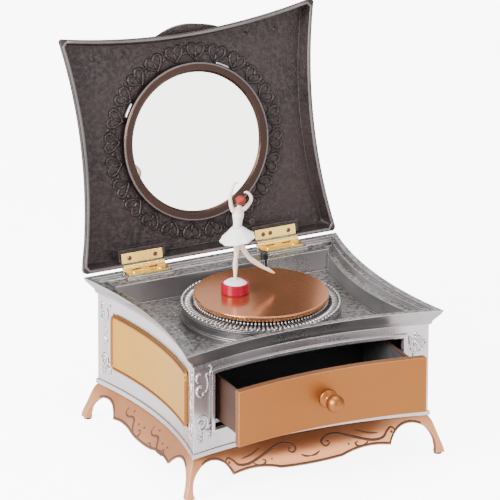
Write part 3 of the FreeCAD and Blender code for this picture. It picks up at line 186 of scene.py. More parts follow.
def finish_material(name, colour, tint, rough=0.3, metallic=1.0, cloud=35.0, grain=900.0,
                    bump=0.04, wear_and_sheen=None, stipple=0.0, stipple_scale=900.0, coat=0.0,
                    stretch=(1, 1, 1), patina_and_shade=None, sheen=0.0, subsurface=0.0, specular=0.5,
                    reach=0.5, mottle=None, flat_stipple=False, grain_bump=1.0):
    """A surface with cloudy colour, uneven gloss, fine grain, rubbed edges that partly paint a highlight, and
    hollows darkened partly as patina and partly as painted shade.
    """
    material, nodes, links = new_material(name)
    shader = add_shader(nodes, links, metallic=metallic, coat_weight=coat, coat_roughness=0.12,
                        specular_ior_level=specular, sheen_weight=sheen, subsurface_weight=subsurface,
                        subsurface_scale=0.8 * MM)
    clouds = noise(nodes, links, cloud)
    fine = noise(nodes, links, grain, 3.0, stretch)
    base = mixed(nodes, links, ranged(nodes, links, clouds, 0, 1, 0.3, 0.7), colour, tint)
    if mottle:
        spots = ranged(nodes, links, noise(nodes, links, MOTTLE_SCALE, 2.0), 0, 1, 0.42, 0.62)
        if flat_stipple:
            spots = maths(nodes, links, "MULTIPLY", spots, facing_up(nodes, links))
        base = mixed(nodes, links, spots, base, mottle)
    # Darker colour in hollows found by ambient occlusion: partly patina, partly painted shade.
    if patina_and_shade:
        shade = add_node(nodes, "AmbientOcclusion", distance=PATINA_AND_SHADE_REACH * MM)
        shade.samples = 6
        dark = ranged(nodes, links, shade.outputs["AO"], 0.85, 0.0, 0.35, 0.8)
        base = mixed(nodes, links, dark, base, patina_and_shade)
    # Edge colour: rubbed wear, and on the drawer front and the lips partly a painted highlight.
    if wear_and_sheen:
        base = mixed(nodes, links, edge_wear_and_sheen(nodes, links, reach * MM), base, wear_and_sheen)
    links.new(base, shader.inputs["Base Color"])
    gloss = maths(nodes, links, "ADD", ranged(nodes, links, clouds, rough - 0.05, rough + 0.06, 0.3, 0.7),
                  ranged(nodes, links, fine, -0.03, 0.04))
    links.new(gloss, shader.inputs["Roughness"])
    height = fine
    if stipple:
        pits = ranged(nodes, links, cells(nodes, links, stipple_scale), 0, 1, 0.1, 0.6)
        if flat_stipple:
            pits = maths(nodes, links, "MULTIPLY", pits, facing_up(nodes, links))
        height = maths(nodes, links, "MULTIPLY_ADD", pits, stipple,
                       ranged(nodes, links, fine, 0, grain_bump))
    relief = add_node(nodes, "Bump", strength=min(1.0, bump * 6), distance=bump * MM)
    links.new(bevelled(nodes, SOFTEN * MM), relief.inputs["Normal"])
    links.new(height, relief.inputs["Height"])
    links.new(relief.outputs["Normal"], shader.inputs["Normal"])
    return material


def mirror_material():
    material, nodes, links = new_material("mirror_silvering")
    shader = add_shader(nodes, links, metallic=1.0)
    smudge = noise(nodes, links, 60.0)
    links.new(ranged(nodes, links, smudge, 0.0, 0.03, 0.45, 0.8), shader.inputs["Roughness"])
    tone = mixed(nodes, links, smudge, (0.93, 0.94, 0.95), (0.97, 0.97, 0.97))
    links.new(tone, shader.inputs["Base Color"])
    return material


# Each patina colour below darkens hollows: partly tarnish, partly painted shade.
LOOKS = {
    "rose_copper": dict(colour=(0.64, 0.25, 0.11), tint=(0.74, 0.33, 0.16), rough=0.33, bump=0.004,
                        wear_and_sheen=(0.86, 0.50, 0.30), patina_and_shade=(0.20, 0.07, 0.035), metallic=0.9),
    "felt": dict(colour=(0.02, 0.02, 0.02), tint=(0.05, 0.05, 0.05), rough=0.95, metallic=0,
                 bump=0.2, sheen=0.4),
    "silver": dict(colour=(0.58, 0.53, 0.55), tint=(0.66, 0.62, 0.65), rough=0.27, bump=0.004,
                   wear_and_sheen=(0.92, 0.90, 0.92), patina_and_shade=(0.17, 0.145, 0.15), metallic=0.85),
    "tray_silver": dict(colour=(0.34, 0.32, 0.32), tint=(0.46, 0.44, 0.44), rough=0.30,
                        wear_and_sheen=(0.86, 0.84, 0.85), stipple=1.0, bump=0.13, stipple_scale=1000,
                        metallic=0.9, mottle=(0.15, 0.142, 0.142), flat_stipple=True, grain_bump=0.0,
                        patina_and_shade=(0.10, 0.095, 0.095)),
    "gilt": dict(colour=(0.62, 0.32, 0.045), tint=(0.68, 0.37, 0.060), rough=0.42, reach=1.1,
                 wear_and_sheen=(0.42, 0.12, 0.045), metallic=0.95, cloud=12, bump=0.004,
                 patina_and_shade=(0.30, 0.09, 0.03)),
    "board": dict(colour=(0.03, 0.025, 0.02), tint=(0.05, 0.04, 0.035), rough=0.7, metallic=0,
                  bump=0.15),
    "steel": dict(colour=(0.55, 0.55, 0.56), tint=(0.64, 0.64, 0.65), rough=0.25,
                  stretch=(1, 12, 1)),
    "spring_steel": dict(colour=(0.20, 0.22, 0.28), tint=(0.30, 0.31, 0.36), rough=0.22),
    "cast_zinc": dict(colour=(0.50, 0.50, 0.51), tint=(0.60, 0.60, 0.61), rough=0.38, bump=0.1),
    "brass": dict(colour=(0.82, 0.50, 0.10), tint=(0.92, 0.70, 0.22), rough=0.26,
                  wear_and_sheen=(0.98, 0.84, 0.45), stretch=(1, 8, 8), metallic=0.95, bump=0.02),
    "platform_grey": dict(colour=(0.10, 0.095, 0.095), tint=(0.16, 0.15, 0.15), rough=0.30,
                          wear_and_sheen=(0.50, 0.48, 0.48), metallic=0.85, bump=0.02),
    "dark_bronze": dict(colour=(0.018, 0.014, 0.015), tint=(0.042, 0.028, 0.027), rough=0.40,
                        wear_and_sheen=(0.13, 0.105, 0.105), stipple=1.0, bump=0.17, stipple_scale=900,
                        metallic=0.55, mottle=(0.046, 0.034, 0.034), patina_and_shade=(0.008, 0.006, 0.006)),
    "ring_bronze": dict(colour=(0.026, 0.017, 0.016), tint=(0.050, 0.028, 0.022), rough=0.30,
                        wear_and_sheen=(0.42, 0.21, 0.13), metallic=0.9, bump=0.004, cloud=18),
    # The light edge colour here also paints the sheen line along the drawer's top and left edges: a painted
    # highlight.
    "drawer_copper": dict(colour=(0.29, 0.102, 0.028), tint=(0.36, 0.138, 0.041), rough=0.40,
                          wear_and_sheen=(0.80, 0.46, 0.22), metallic=0.95, cloud=10, bump=0.004),
    "drawer_brown": dict(colour=(0.050, 0.024, 0.016), tint=(0.080, 0.040, 0.026), rough=0.5,
                         metallic=0.2),
    "velvet": dict(colour=(0.006, 0.006, 0.007), tint=(0.014, 0.014, 0.016), rough=0.95,
                   metallic=0, sheen=0.12, bump=0.3, grain=1800),
    "disc_copper": dict(colour=(0.60, 0.23, 0.10), tint=(0.70, 0.30, 0.14), rough=0.21,
                        wear_and_sheen=(0.92, 0.60, 0.38), metallic=0.92, cloud=8, bump=0.002),
    "white_plastic": dict(colour=(0.80, 0.80, 0.77), tint=(0.86, 0.86, 0.83), metallic=0),
    "black_plastic": dict(colour=(0.01, 0.01, 0.01), tint=(0.03, 0.03, 0.03), metallic=0),
    "cup_crimson": dict(colour=(0.24, 0.0002, 0.018), tint=(0.32, 0.0004, 0.028), rough=0.25,
                        metallic=0, coat=0.1, specular=0.3, bump=0.01),
    "magnet": dict(colour=(0.06, 0.06, 0.06), tint=(0.1, 0.1, 0.1), rough=0.5, metallic=0.4),
    "filling_white": dict(colour=(0.88, 0.87, 0.86), tint=(0.94, 0.94, 0.93), rough=0.6,
                          metallic=0, bump=0.3, stipple=1.0, stipple_scale=1400, subsurface=0.3),
    "doll_ivory": dict(colour=(0.86, 0.70, 0.56), tint=(0.90, 0.78, 0.66), rough=0.35,
                       metallic=0, subsurface=0.3, coat=0.2, bump=0.02),
    "doll_dress": dict(colour=(0.88, 0.84, 0.80), tint=(0.93, 0.90, 0.88), rough=0.45,
                       metallic=0, subsurface=0.2, bump=0.05),
    "doll_hair": dict(colour=(0.15, 0.006, 0.006), tint=(0.30, 0.022, 0.018), rough=0.50, specular=0.3,
                      metallic=0, bump=0.2, stretch=(1, 1, 6)),
    # A lighter copy of the platform's grey metal for the beads and ribs: the lighter tone is a painted highlight.
    "platform_mid": dict(colour=(0.26, 0.25, 0.25), tint=(0.36, 0.35, 0.35), rough=0.28, metallic=0.9),
    # The lips' lighter edge colour is partly rubbed wear and partly a painted highlight.
    "lip_bronze": dict(colour=(0.11, 0.095, 0.097), tint=(0.16, 0.14, 0.14), rough=0.38, metallic=0.6,
                       wear_and_sheen=(0.30, 0.27, 0.26)),
    "doll_eyes": dict(colour=(0.03, 0.02, 0.02), tint=(0.05, 0.03, 0.03), rough=0.2, metallic=0),
    "dark_line": dict(colour=(0.085, 0.034, 0.020), tint=(0.13, 0.055, 0.034), rough=0.5, metallic=0.3),
}
MATERIALS = {slot: finish_material(slot + "_look", **look) for slot, look in LOOKS.items()}
MATERIALS["mirror_glass"] = mirror_material()


# ---- CAD nodes keep their shape

def dress_node(node, slot):
    """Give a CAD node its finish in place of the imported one."""
    obj = frame["nodes"][node]
    obj.data.materials.clear()
    obj.data.materials.append(MATERIALS[slot])


for entry in record["subparts"]:
    dress_node(entry["node"], entry["material_slot"])


# ---- mesh helpers

def add_object(name, data):
    obj = bpy.data.objects.new(name, data)
    bpy.context.scene.collection.objects.link(obj)
    return obj


def add_mesh(name, verts, faces, slot, body):
    """A smooth-shaded mesh piece that rides on a body."""
    mesh = bpy.data.meshes.new(name)
    mesh.from_pydata([tuple(v) for v in verts], [], faces)
    mesh.validate()
    shape = bmesh.new()
    shape.from_mesh(mesh)
    bmesh.ops.recalc_face_normals(shape, faces=shape.faces)
    shape.to_mesh(mesh)
    shape.free()
    obj = add_object(name, mesh)
    obj.data.materials.append(MATERIALS[slot])
    for face in mesh.polygons:
        face.use_smooth = True
    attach(obj, body)
    return obj


def skin_rings(verts, faces, rings):
    """Append rings of vertices to growing lists, joined up and with both ends closed."""
    start, sides = len(verts), len(rings[0])
    for ring in rings:
        verts.extend(ring)
    for i in range(len(rings) - 1):
        for k in range(sides):
            a = start + i * sides + k
            b = start + i * sides + (k + 1) % sides
            faces.append((a, b, b + sides, a + sides))
    faces.append(tuple(start + k for k in reversed(range(sides))))
    last = start + (len(rings) - 1) * sides
    faces.append(tuple(last + k for k in range(sides)))


def tube_mesh(verts, faces, points, radii, sides=8, flat=None, squeeze=1.0):
    """Append a capped tube along a path; flat is the normal that it is squeezed along."""
    rings = []
    normal = None
    for i, point in enumerate(points):
        ahead = points[min(i + 1, len(points) - 1)] - points[max(i - 1, 0)]
        ahead.normalize()
        if flat is not None:
            up = flat[i] if isinstance(flat, list) else flat
            side = ahead.cross(up).normalized()
        else:
            if normal is None:
                normal = ahead.orthogonal().normalized()
            side = (normal - ahead * normal.dot(ahead)).normalized()
            normal = side
            up = ahead.cross(side)
        ring = []
        for k in range(sides):
            angle = 2 * math.pi * k / sides
            ring.append(point + side * (radii[i] * math.cos(angle))
                        + up * (radii[i] * squeeze * math.sin(angle)))
        rings.append(ring)
    skin_rings(verts, faces, rings)


def ball_mesh(verts, faces, centre, radius, rings=6, sides=10, squash=(1, 1, 1)):
    """Append a ball to growing vertex and face lists."""
    start = len(verts)
    verts.append(centre + Vector((0, 0, radius * squash[2])))
    for i in range(1, rings):
        tilt = math.pi * i / rings
        for k in range(sides):
            turn = 2 * math.pi * k / sides
            verts.append(centre + Vector((
                radius * squash[0] * math.sin(tilt) * math.cos(turn),
                radius * squash[1] * math.sin(tilt) * math.sin(turn),
                radius * squash[2] * math.cos(tilt))))
    verts.append(centre - Vector((0, 0, radius * squash[2])))
    for k in range(sides):
        faces.append((start, start + 1 + k, start + 1 + (k + 1) % sides))
        for i in range(rings - 2):
            a = start + 1 + i * sides + k
            b = start + 1 + i * sides + (k + 1) % sides
            faces.append((a, a + sides, b + sides, b))
        low = start + 1 + (rings - 2) * sides
        faces.append((low + (k + 1) % sides, low + k, len(verts) - 1))


def spline(points, steps):
    """A smooth path through 2D or 3D points (Catmull-Rom)."""
    points = [Vector(p) for p in points]
    path = []
    for i in range(len(points) - 1):
        before = points[max(i - 1, 0)]
        a, b = points[i], points[i + 1]
        after = points[min(i + 2, len(points) - 1)]
        for k in range(steps):
            t = k / steps
            path.append(0.5 * ((2 * a) + (b - before) * t
                               + (2 * before - 5 * a + 4 * b - after) * t * t
                               + (3 * a - before - 3 * b + after) * t * t * t))
    path.append(points[-1])
    return path


def curl(centre, radius, start, turns, shrink, steps):
    """A 2D spiral that winds in from an outer point round a centre; start is in degrees."""
    path = []
    for k in range(steps + 1):
        t = k / steps
        angle = math.radians(start) + 2 * math.pi * turns * t
        r = radius * (1 - (1 - shrink) * t)
        path.append(Vector((centre[0] + r * math.cos(angle), centre[1] + r * math.sin(angle))))
    return path


def taper(count, thick, thin=0.35):
    """Radii that swell in the middle of a path."""
    return [thick * (thin + (1 - thin) * math.sin(math.pi * min(max(k / (count - 1), 0.04), 0.96)))
            for k in range(count)]


# ---- drawing on a surface

TREES = {}
RAY_REACH = 0.3


def surface(node):
    """A CAD node's own surface, to lay ornament on."""
    if node not in TREES:
        mesh = frame["nodes"][node].data
        TREES[node] = BVHTree.FromPolygons([v.co for v in mesh.vertices],
                                           [list(p.vertices) for p in mesh.polygons])
    return TREES[node]


def strike(node, start, aim):
    """Where a ray first meets a node, and the outward normal there."""
    hit, normal, _, _ = surface(node).ray_cast(start, aim, RAY_REACH)
    if hit is None:
        return None
    if normal.dot(aim) > 0:
        normal = -normal
    return hit, normal


OUTWARD = {"front": Vector((0, -1, 0)), "back": Vector((0, 1, 0)),
           "left": Vector((-1, 0, 0)), "right": Vector((1, 0, 0))}


def front_of(node, face, middle=(0.0, 0.0)):
    """A function from flat drawing millimetres to a place on one face of a node."""
    aim = -OUTWARD[face]
    hand = 1 if face in ("front", "right") else -1

    def place(point):
        s = (point[0] * hand + middle[0]) * MM
        z = (point[1] + middle[1]) * MM
        start = Vector((s, 0, z)) if face in ("front", "back") else Vector((0, CASE_MID.y + s, z))
        return strike(node, start - aim * 0.15, aim)
    return place


def lid_face(inner, middle=(0.0, 0.0), turn=0.0):
    """The same for the lid: across and up from the hinge axis, on its inside or outside."""
    aim = LID_OUT if inner else -LID_OUT
    cosine, sine = math.cos(turn), math.sin(turn)

    def place(point):
        x = point[0] * cosine - point[1] * sine + middle[0]
        u = point[0] * sine + point[1] * cosine + middle[1]
        if not inner:
            x = -x
        return strike("lid_shell", on_lid(x * MM, u * MM, -0.03 if inner else 0.05), aim)
    return place


class Relief:
    """Raised or inlaid lines and beads that follow a surface, gathered in one mesh."""

    def __init__(self):
        self.verts, self.faces = [], []

    def line(self, place, points, thick, thin=0.35, rise=0.2, squeeze=0.8, smooth=5, sides=8):
        spots = [place(p) for p in spline(points, smooth)]
        spots = [s for s in spots if s]
        if len(spots) < 3:
            return
        radii = [r * MM for r in taper(len(spots), thick, thin)]
        path = [hit + normal * (rise * radii[i]) for i, (hit, normal) in enumerate(spots)]
        tube_mesh(self.verts, self.faces, path, radii, sides, [n for _, n in spots], squeeze)

    def bead(self, place, point, radius, flat=0.7):
        spot = place(point)
        if not spot:
            return
        hit, normal = spot
        start = len(self.verts)
        ball_mesh(self.verts, self.faces, Vector((0, 0, 0)), radius * MM, squash=(1, 1, flat))
        turn = normal.to_track_quat("Z", "Y").to_matrix()
        for i in range(start, len(self.verts)):
            self.verts[i] = hit + turn @ self.verts[i]

    def build(self, name, slot, body):
        return add_mesh(name, self.verts, self.faces, slot, body)


# ---- embossed scrolls

UPPER_SCROLL = [
    ([(-1.6, -3.3), (-2.1, -2.3), (-3.4, -2.6), (-4.7, -4.5), (-4.4, -6.4), (-2.1, -8.4), (-0.1, -7.4)],
     0.75),
    ([(-0.1, -7.4), (1.7, -5.8), (2.5, -2.6), (2.2, 0.5), (1.5, 2.7), (2.2, 3.6), (3.9, 2.4)], 0.6),
    ([(-3.7, -0.4), (-5.0, 1.4), (-4.7, 3.6), (-3.1, 4.9), (-2.0, 4.0)], 0.7),
    ([(3.9, 7.7), (5.0, 6.2), (4.4, 4.3), (3.5, 3.0)], 0.55),
]
UPPER_BEADS = [((-0.4, -7.3), 1.1), ((-2.3, 4.2), 0.8), ((3.9, 2.5), 0.9), ((3.9, 7.5), 0.8),
               ((-1.9, -3.2), 0.7)]
LOWER_SCROLL = [
    ([(-3.6, 1.6), (-4.2, 4.1), (-2.6, 6.6), (0, 6.9), (2.3, 4.1), (2, 1), (-0.3, -0.9), (-2.6, -0.3),
      (-3.3, 2.2), (-1.6, 4.1), (0, 3.1), (-0.6, 1.6)], 0.65),
    ([(-3.6, -6), (-2.6, -7.2), (-0.6, -6.6), (-0.3, -3.5), (0.6, -1.6), (3.6, -2.2), (5.4, -3.1),
      (5.4, -5.3), (3.9, -6.5), (3.1, -5.3)], 0.6),
    ([(2.0, -0.4), (3.2, 0.8), (4.9, 0.9)], 0.75),
    ([(-4.0, -2.6), (-3.4, -4.2), (-1.6, -4.4)], 0.6),
]
LOWER_BEADS = [((-0.7, 2.0), 0.9), ((3.6, -5.6), 0.8), ((-3.7, -5.8), 0.7), ((4.8, 0.9), 0.6)]


def emboss(relief, place, scroll, beads, hand=1, scale=1.0):
    """One scroll motif, mirrored when hand is -1."""
    for points, thick in scroll:
        relief.line(place, [(hand * scale * x, scale * y) for x, y in points],
                    thick * scale * 1.2, thin=0.55, rise=0.3)
    for (x, y), radius in beads:
        relief.bead(place, (hand * scale * x, scale * y), radius * scale)


def rose(relief, place, radius):
    """A rosette: a coiled heart, a ring of petals and three leaves."""
    coil = curl((0, 0), radius * 0.52, 20, 1.7, 0.12, 22)
    relief.line(place, coil, radius * 0.15, thin=0.7)
    for k in range(5):
        angle = math.radians(72 * k + 12)
        arc = [(math.cos(angle + a) * radius * r, math.sin(angle + a) * radius * r)
               for a, r in ((-0.55, 0.62), (-0.35, 0.92), (0.0, 1.03), (0.35, 0.92), (0.55, 0.62))]
        relief.line(place, arc, radius * 0.16, thin=0.6)
    for angle in (100, 140, 250):
        a = math.radians(angle)
        leaf = [(math.cos(a) * radius * r, math.sin(a) * radius * r) for r in (1.05, 1.35, 1.7)]
        relief.line(place, leaf, radius * 0.22, thin=0.2)
    relief.bead(place, (0, 0), radius * 0.2)


PILASTER = 61.8
UPPER_Z, LOWER_Z, MIDDLE_Z = 63.2, 36.6, 50.0
END_POST = 51.3
ROSE_SHIFT, ROSE_DOWN, ROSE_RADIUS = 0.8, 1.5, 4.1


def add_case_ornament():
    """Scrolls and a rose on the front and back pilasters, and scrolls on the sides' end posts."""
    relief = Relief()
    for face, way in (("front", 1), ("back", -1)):
        for hand in (-1, 1):
            spot = hand * PILASTER * way
            if hand > 0:
                middle_of_rose = (spot + ROSE_SHIFT * way, UPPER_Z - ROSE_DOWN)
                rose(relief, front_of("case_body", face, middle_of_rose), ROSE_RADIUS)
            else:
                upper = front_of("case_body", face, (spot, UPPER_Z))
                emboss(relief, upper, UPPER_SCROLL, UPPER_BEADS)
            lower = front_of("case_body", face, (spot, LOWER_Z))
            emboss(relief, lower, LOWER_SCROLL, LOWER_BEADS, hand=-hand)
    for face in ("left", "right"):
        for end in (-1, 1):
            for z, scroll, beads in ((UPPER_Z + 1, UPPER_SCROLL, UPPER_BEADS),
                                     (LOWER_Z - 2.5, LOWER_SCROLL, LOWER_BEADS)):
                place = front_of("case_body", face, (end * END_POST, z))
                emboss(relief, place, scroll, beads, hand=end if face == "left" else -end, scale=0.78)
            post = front_of("case_body", face, (end * END_POST, MIDDLE_Z))
            relief.line(post, [(-1.5, -5), (1.2, -3), (-1.2, 0), (1.2, 3), (-1.5, 5)], 0.6)
            relief.bead(post, (0, 6.6), 0.7)
            relief.bead(post, (0, -6.6), 0.7)
    relief.build("case_scrolls", "silver", "case")


PANEL_EDGE, PANEL_CORNER, PANEL_BEAD = 0.8, 2.6, 0.9


def add_panel_edges():
    """A copper bead round the edge of each side panel."""
    edges = Relief()
    for face, node in (("left", "side_panel_left"), ("right", "side_panel_right")):
        low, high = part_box(node)
        half_w = (high.y - low.y) / 2 / MM - PANEL_EDGE - PANEL_CORNER
        half_h = (high.z - low.z) / 2 / MM - PANEL_EDGE - PANEL_CORNER
        mid = ((low.y + high.y) / 2 - CASE_MID.y) / MM, (low.z + high.z) / 2 / MM
        loop = []
        for corner, (x, z) in enumerate(((1, 1), (-1, 1), (-1, -1), (1, -1))):
            for k in range(5):
                angle = math.radians(90 * corner + 22.5 * k)
                loop.append((x * half_w + PANEL_CORNER * math.cos(angle),
                             z * half_h + PANEL_CORNER * math.sin(angle)))
        path = []
        for a, b in zip(loop, loop[1:] + loop[:1]):
            steps = max(1, int(math.dist(a, b) / 3))
            path += [(a[0] + (b[0] - a[0]) * k / steps, a[1] + (b[1] - a[1]) * k / steps)
                     for k in range(steps)]
        edges.line(front_of(node, face, mid), path + path[:1], PANEL_BEAD, thin=1.0, rise=-0.2, smooth=1)
    edges.build("panel_edges", "drawer_copper", "case")


# ---- stand engraving

LONG_SCROLL = [(-48.0, 14.0), (-49.4, 15.8), (-47.6, 17.2), (-45.0, 15.6), (-42.0, 13.0), (-36.0, 12.6),
               (-27.0, 15.0), (-18.0, 17.6), (-11.0, 17.4), (-7.6, 15.4), (-9.4, 13.4), (-12.0, 14.4),
               (-11.0, 15.6)]
LONG_TENDRIL = [(-34.0, 12.8), (-31.5, 11.0), (-28.0, 10.6), (-26.2, 12.2), (-28.0, 13.0)]
LEAF_STROKE = [(-40.0, 15.4), (-34.0, 16.2), (-28.0, 18.0)]
END_STROKE = [(-5.5, 11.8), (-3.0, 10.6), (0.0, 10.2)]
SIDE_SCROLL = [(-31.0, 18.2), (-30.4, 15.9), (-27.4, 15.0), (-23.4, 15.8), (-20.6, 15.2), (-18.2, 12.6),
               (-14.8, 9.9), (-11.2, 9.8), (-9.2, 11.8), (-10.4, 13.4), (-12.2, 12.6)]
SIDE_LEAF = [(-27.5, 10.8), (-25.2, 11.6), (-22.6, 10.2)]
SKIRT_TOP, SKIRT_BOTTOM, SKIRT_REACH = 19.0, 0.5, 40.0
# BORDER_LINE is thick so the border's dark line also paints shade along the stand's lower edge.
BORDER_UP, BORDER_STEPS, BORDER_LINE = 1.0, 90, 0.6
SIDE_SHIFTS = (5.0, 34.0)


def lower_edge(node, face, s):
    """Height of a skirt's lower edge at a distance s from the middle of one face."""
    low, high = SKIRT_BOTTOM, SKIRT_TOP
    outward = OUTWARD[face]
    centre = Vector((0, CASE_MID.y, 0)).dot(outward)
    for _ in range(14):
        mid = (low + high) / 2
        spot = front_of(node, face)((s, mid))
        if spot and spot[0].dot(outward) - centre > SKIRT_REACH * MM and spot[1].dot(outward) > 0.3:
            high = mid
        else:
            low = mid
    return high


def add_stand_engraving():
    """Dark filled lines: a border above the lower edge, drawn thick so it also paints the shade along that edge,
    long scrolls and their dots.
    """
    lines = Relief()
    for face, reach in (("front", 64.0), ("back", 64.0), ("left", 52.0), ("right", 52.0)):
        border = []
        for k in range(BORDER_STEPS + 1):
            s = -reach + 2 * reach * k / BORDER_STEPS
            border.append((s, lower_edge("base_stand", face, s) + BORDER_UP))
        lines.line(front_of("base_stand", face), border, BORDER_LINE, thin=0.9, rise=0.0, squeeze=0.6,
                   smooth=1, sides=6)
    for face in ("front", "back"):
        place = front_of("base_stand", face)
        for hand in (-1, 1):
            for points, thick in ((LONG_SCROLL, 0.75), (LONG_TENDRIL, 0.6), (LEAF_STROKE, 0.5),
                                  (END_STROKE, 0.55)):
                lines.line(place, [(-hand * x, y) for x, y in points], thick, rise=0.0, squeeze=0.6,
                           sides=6)
            for x, y, radius in ((-11.2, 15.3, 0.7), (-47.4, 15.0, 0.7), (-22.5, 12.4, 0.55)):
                lines.bead(place, (-hand * x, y), radius, 0.4)
    for face, hand in (("left", 1), ("right", -1)):
        place = front_of("base_stand", face)
        for shift in SIDE_SHIFTS:
            for points, thick in ((SIDE_SCROLL, 0.75), (SIDE_LEAF, 0.55)):
                lines.line(place, [(hand * (x + shift), y) for x, y in points], thick, rise=0.0,
                           squeeze=0.5, sides=6)
            for x, y in ((-25.0, 18.0), (-14.6, 15.0), (-8.6, 15.2)):
                lines.bead(place, (hand * (x + shift), y), 0.75, 0.4)
    lines.build("stand_engraving", "dark_line", "case")


# ---- platform beading

EDGE_BEADS, EDGE_BEAD = 88, 1.05
RIBS = 110
DISC_GAP = 0.45
WIRE_DOWN, WIRE_THICK, WIRE_STEPS = 1.5, 0.3, 144


def ring_of(count, radius, z, maker):
    """Call maker(spot, outward) at equal steps round the turntable's axis."""
    for k in range(count):
        angle = 2 * math.pi * k / count
        outward = Vector((math.cos(angle), math.sin(angle), 0))
        maker(Vector((SPIN.x, SPIN.y, z)) + outward * radius, outward)


def add_platform_beading():
    """Beads round the platform's edge, ribs and short posts under the disc, and a wire below them."""
    low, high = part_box("turntable_platform")
    disc_low, disc_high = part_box("turntable_disc")
    edge, disc_edge = (high.x - low.x) / 2, (disc_high.x - disc_low.x) / 2
    beads, ribs, wire = Relief(), Relief(), Relief()

    def bead(spot, outward):
        ball_mesh(beads.verts, beads.faces, spot, EDGE_BEAD * MM, 6, 8)

    def rib(spot, outward):
        path = [spot + outward * (step * MM) for step in (-3.0, 0, 2.2)]
        tube_mesh(ribs.verts, ribs.faces, path, [0.7 * MM, 0.8 * MM, 0.6 * MM], 6)

    def post(spot, outward):
        top = Vector((spot.x, spot.y, disc_low.z - DISC_GAP * MM))
        tube_mesh(ribs.verts, ribs.faces, [spot, (spot + top) / 2, top],
                  [0.75 * MM, 0.8 * MM, 0.55 * MM], 6)

    ring_of(EDGE_BEADS, edge - 0.75 * MM, high.z + 0.1 * MM, bead)
    ring_of(RIBS, edge - 3.8 * MM, high.z + 0.15 * MM, rib)
    ring_of(RIBS, disc_edge - 0.9 * MM, high.z - 0.2 * MM, post)
    path = []
    ring_of(WIRE_STEPS, edge + 0.02 * MM, high.z - WIRE_DOWN * MM, lambda spot, outward: path.append(spot))
    path.append(path[0].copy())
    tube_mesh(wire.verts, wire.faces, path, [WIRE_THICK * MM] * len(path), 6)
    # Beads and ribs take the lighter grey, a painted highlight on the platform's metal.
    beads.build("platform_beads", "platform_mid", "case")
    ribs.build("platform_ribs", "platform_mid", "case")
    wire.build("platform_wires", "platform_grey", "case")


# ---- lid ornament

MIRROR_MID = middle("mirror")
MIRROR_UP = (MIRROR_MID - HINGE).dot(LID_UP) / MM
RING_OUT = (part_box("mirror_ring")[1].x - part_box("mirror_ring")[0].x) / 2 / MM
RING_HIT = strike("mirror_ring", on_lid((RING_OUT - 0.5) * MM, MIRROR_UP * MM, -0.03), LID_OUT)
RING_DEEP = (RING_HIT[0] - HINGE).dot(LID_OUT) if RING_HIT else 3 * MM
HEART = [(0, 0.6), (-1.9, 2.3), (-3.9, 4.6), (-4.2, 6.9), (-2.6, 8.3), (-0.8, 7.6), (0, 5.9)]
HEARTS = 24


OUTER_HEARTS, OUTER_RING = 22, 32.0
BOSSES, BOSS_UP = (-54, -36, 36, 54), 112
FLOURISH = [(-9, -2), (-5, -4.4), (0, -3), (4, 1.5), (7, 6.5), (4.5, 8.6), (2.4, 6.2)]
SPRIG = [(-7, 3), (-3, 1.6), (0, 3.6), (-1.5, 6.6), (-4, 5.4)]
RING_LIP_IN, RING_LIP_THICK, RING_STEPS = 0.5, 0.55, 120
CLIP_OUT, CLIP_DEEP, CLIP_THICK, CLIP_STEP = 0.75, 5.6, 0.75, 0.0225


def round_mirror(radius, angle):
    """Across and up of a point at a radius from the mirror's middle."""
    return radius * math.cos(angle), MIRROR_UP + radius * math.sin(angle)


def add_hearts(relief, inner, radius, scale, count):
    """A ring of hearts, each with a stalk, and a bead and a small arch between them."""
    for k in range(count):
        angle = 2 * math.pi * (k + 0.5) / count
        place = lid_face(inner, round_mirror(radius, angle), angle - math.pi / 2)
        for hand in (-1, 1):
            relief.line(place, [(hand * scale * x, scale * y) for x, y in HEART], 0.68 * scale, thin=0.7,
                        rise=0.45)
        relief.line(place, [(0, 1.6 * scale), (0, 3.4 * scale), (0, 5.2 * scale)], 0.75 * scale,
                    thin=0.35, rise=0.4)
        angle += math.pi / count
        between = lid_face(inner, round_mirror(radius, angle), angle - math.pi / 2)
        relief.bead(between, (0, 7.2 * scale), 0.85 * scale)
        relief.line(between, [(-1.3 * scale, 3.2 * scale), (0, 4.6 * scale), (1.3 * scale, 3.2 * scale)],
                    0.6 * scale, thin=0.5, rise=0.4)


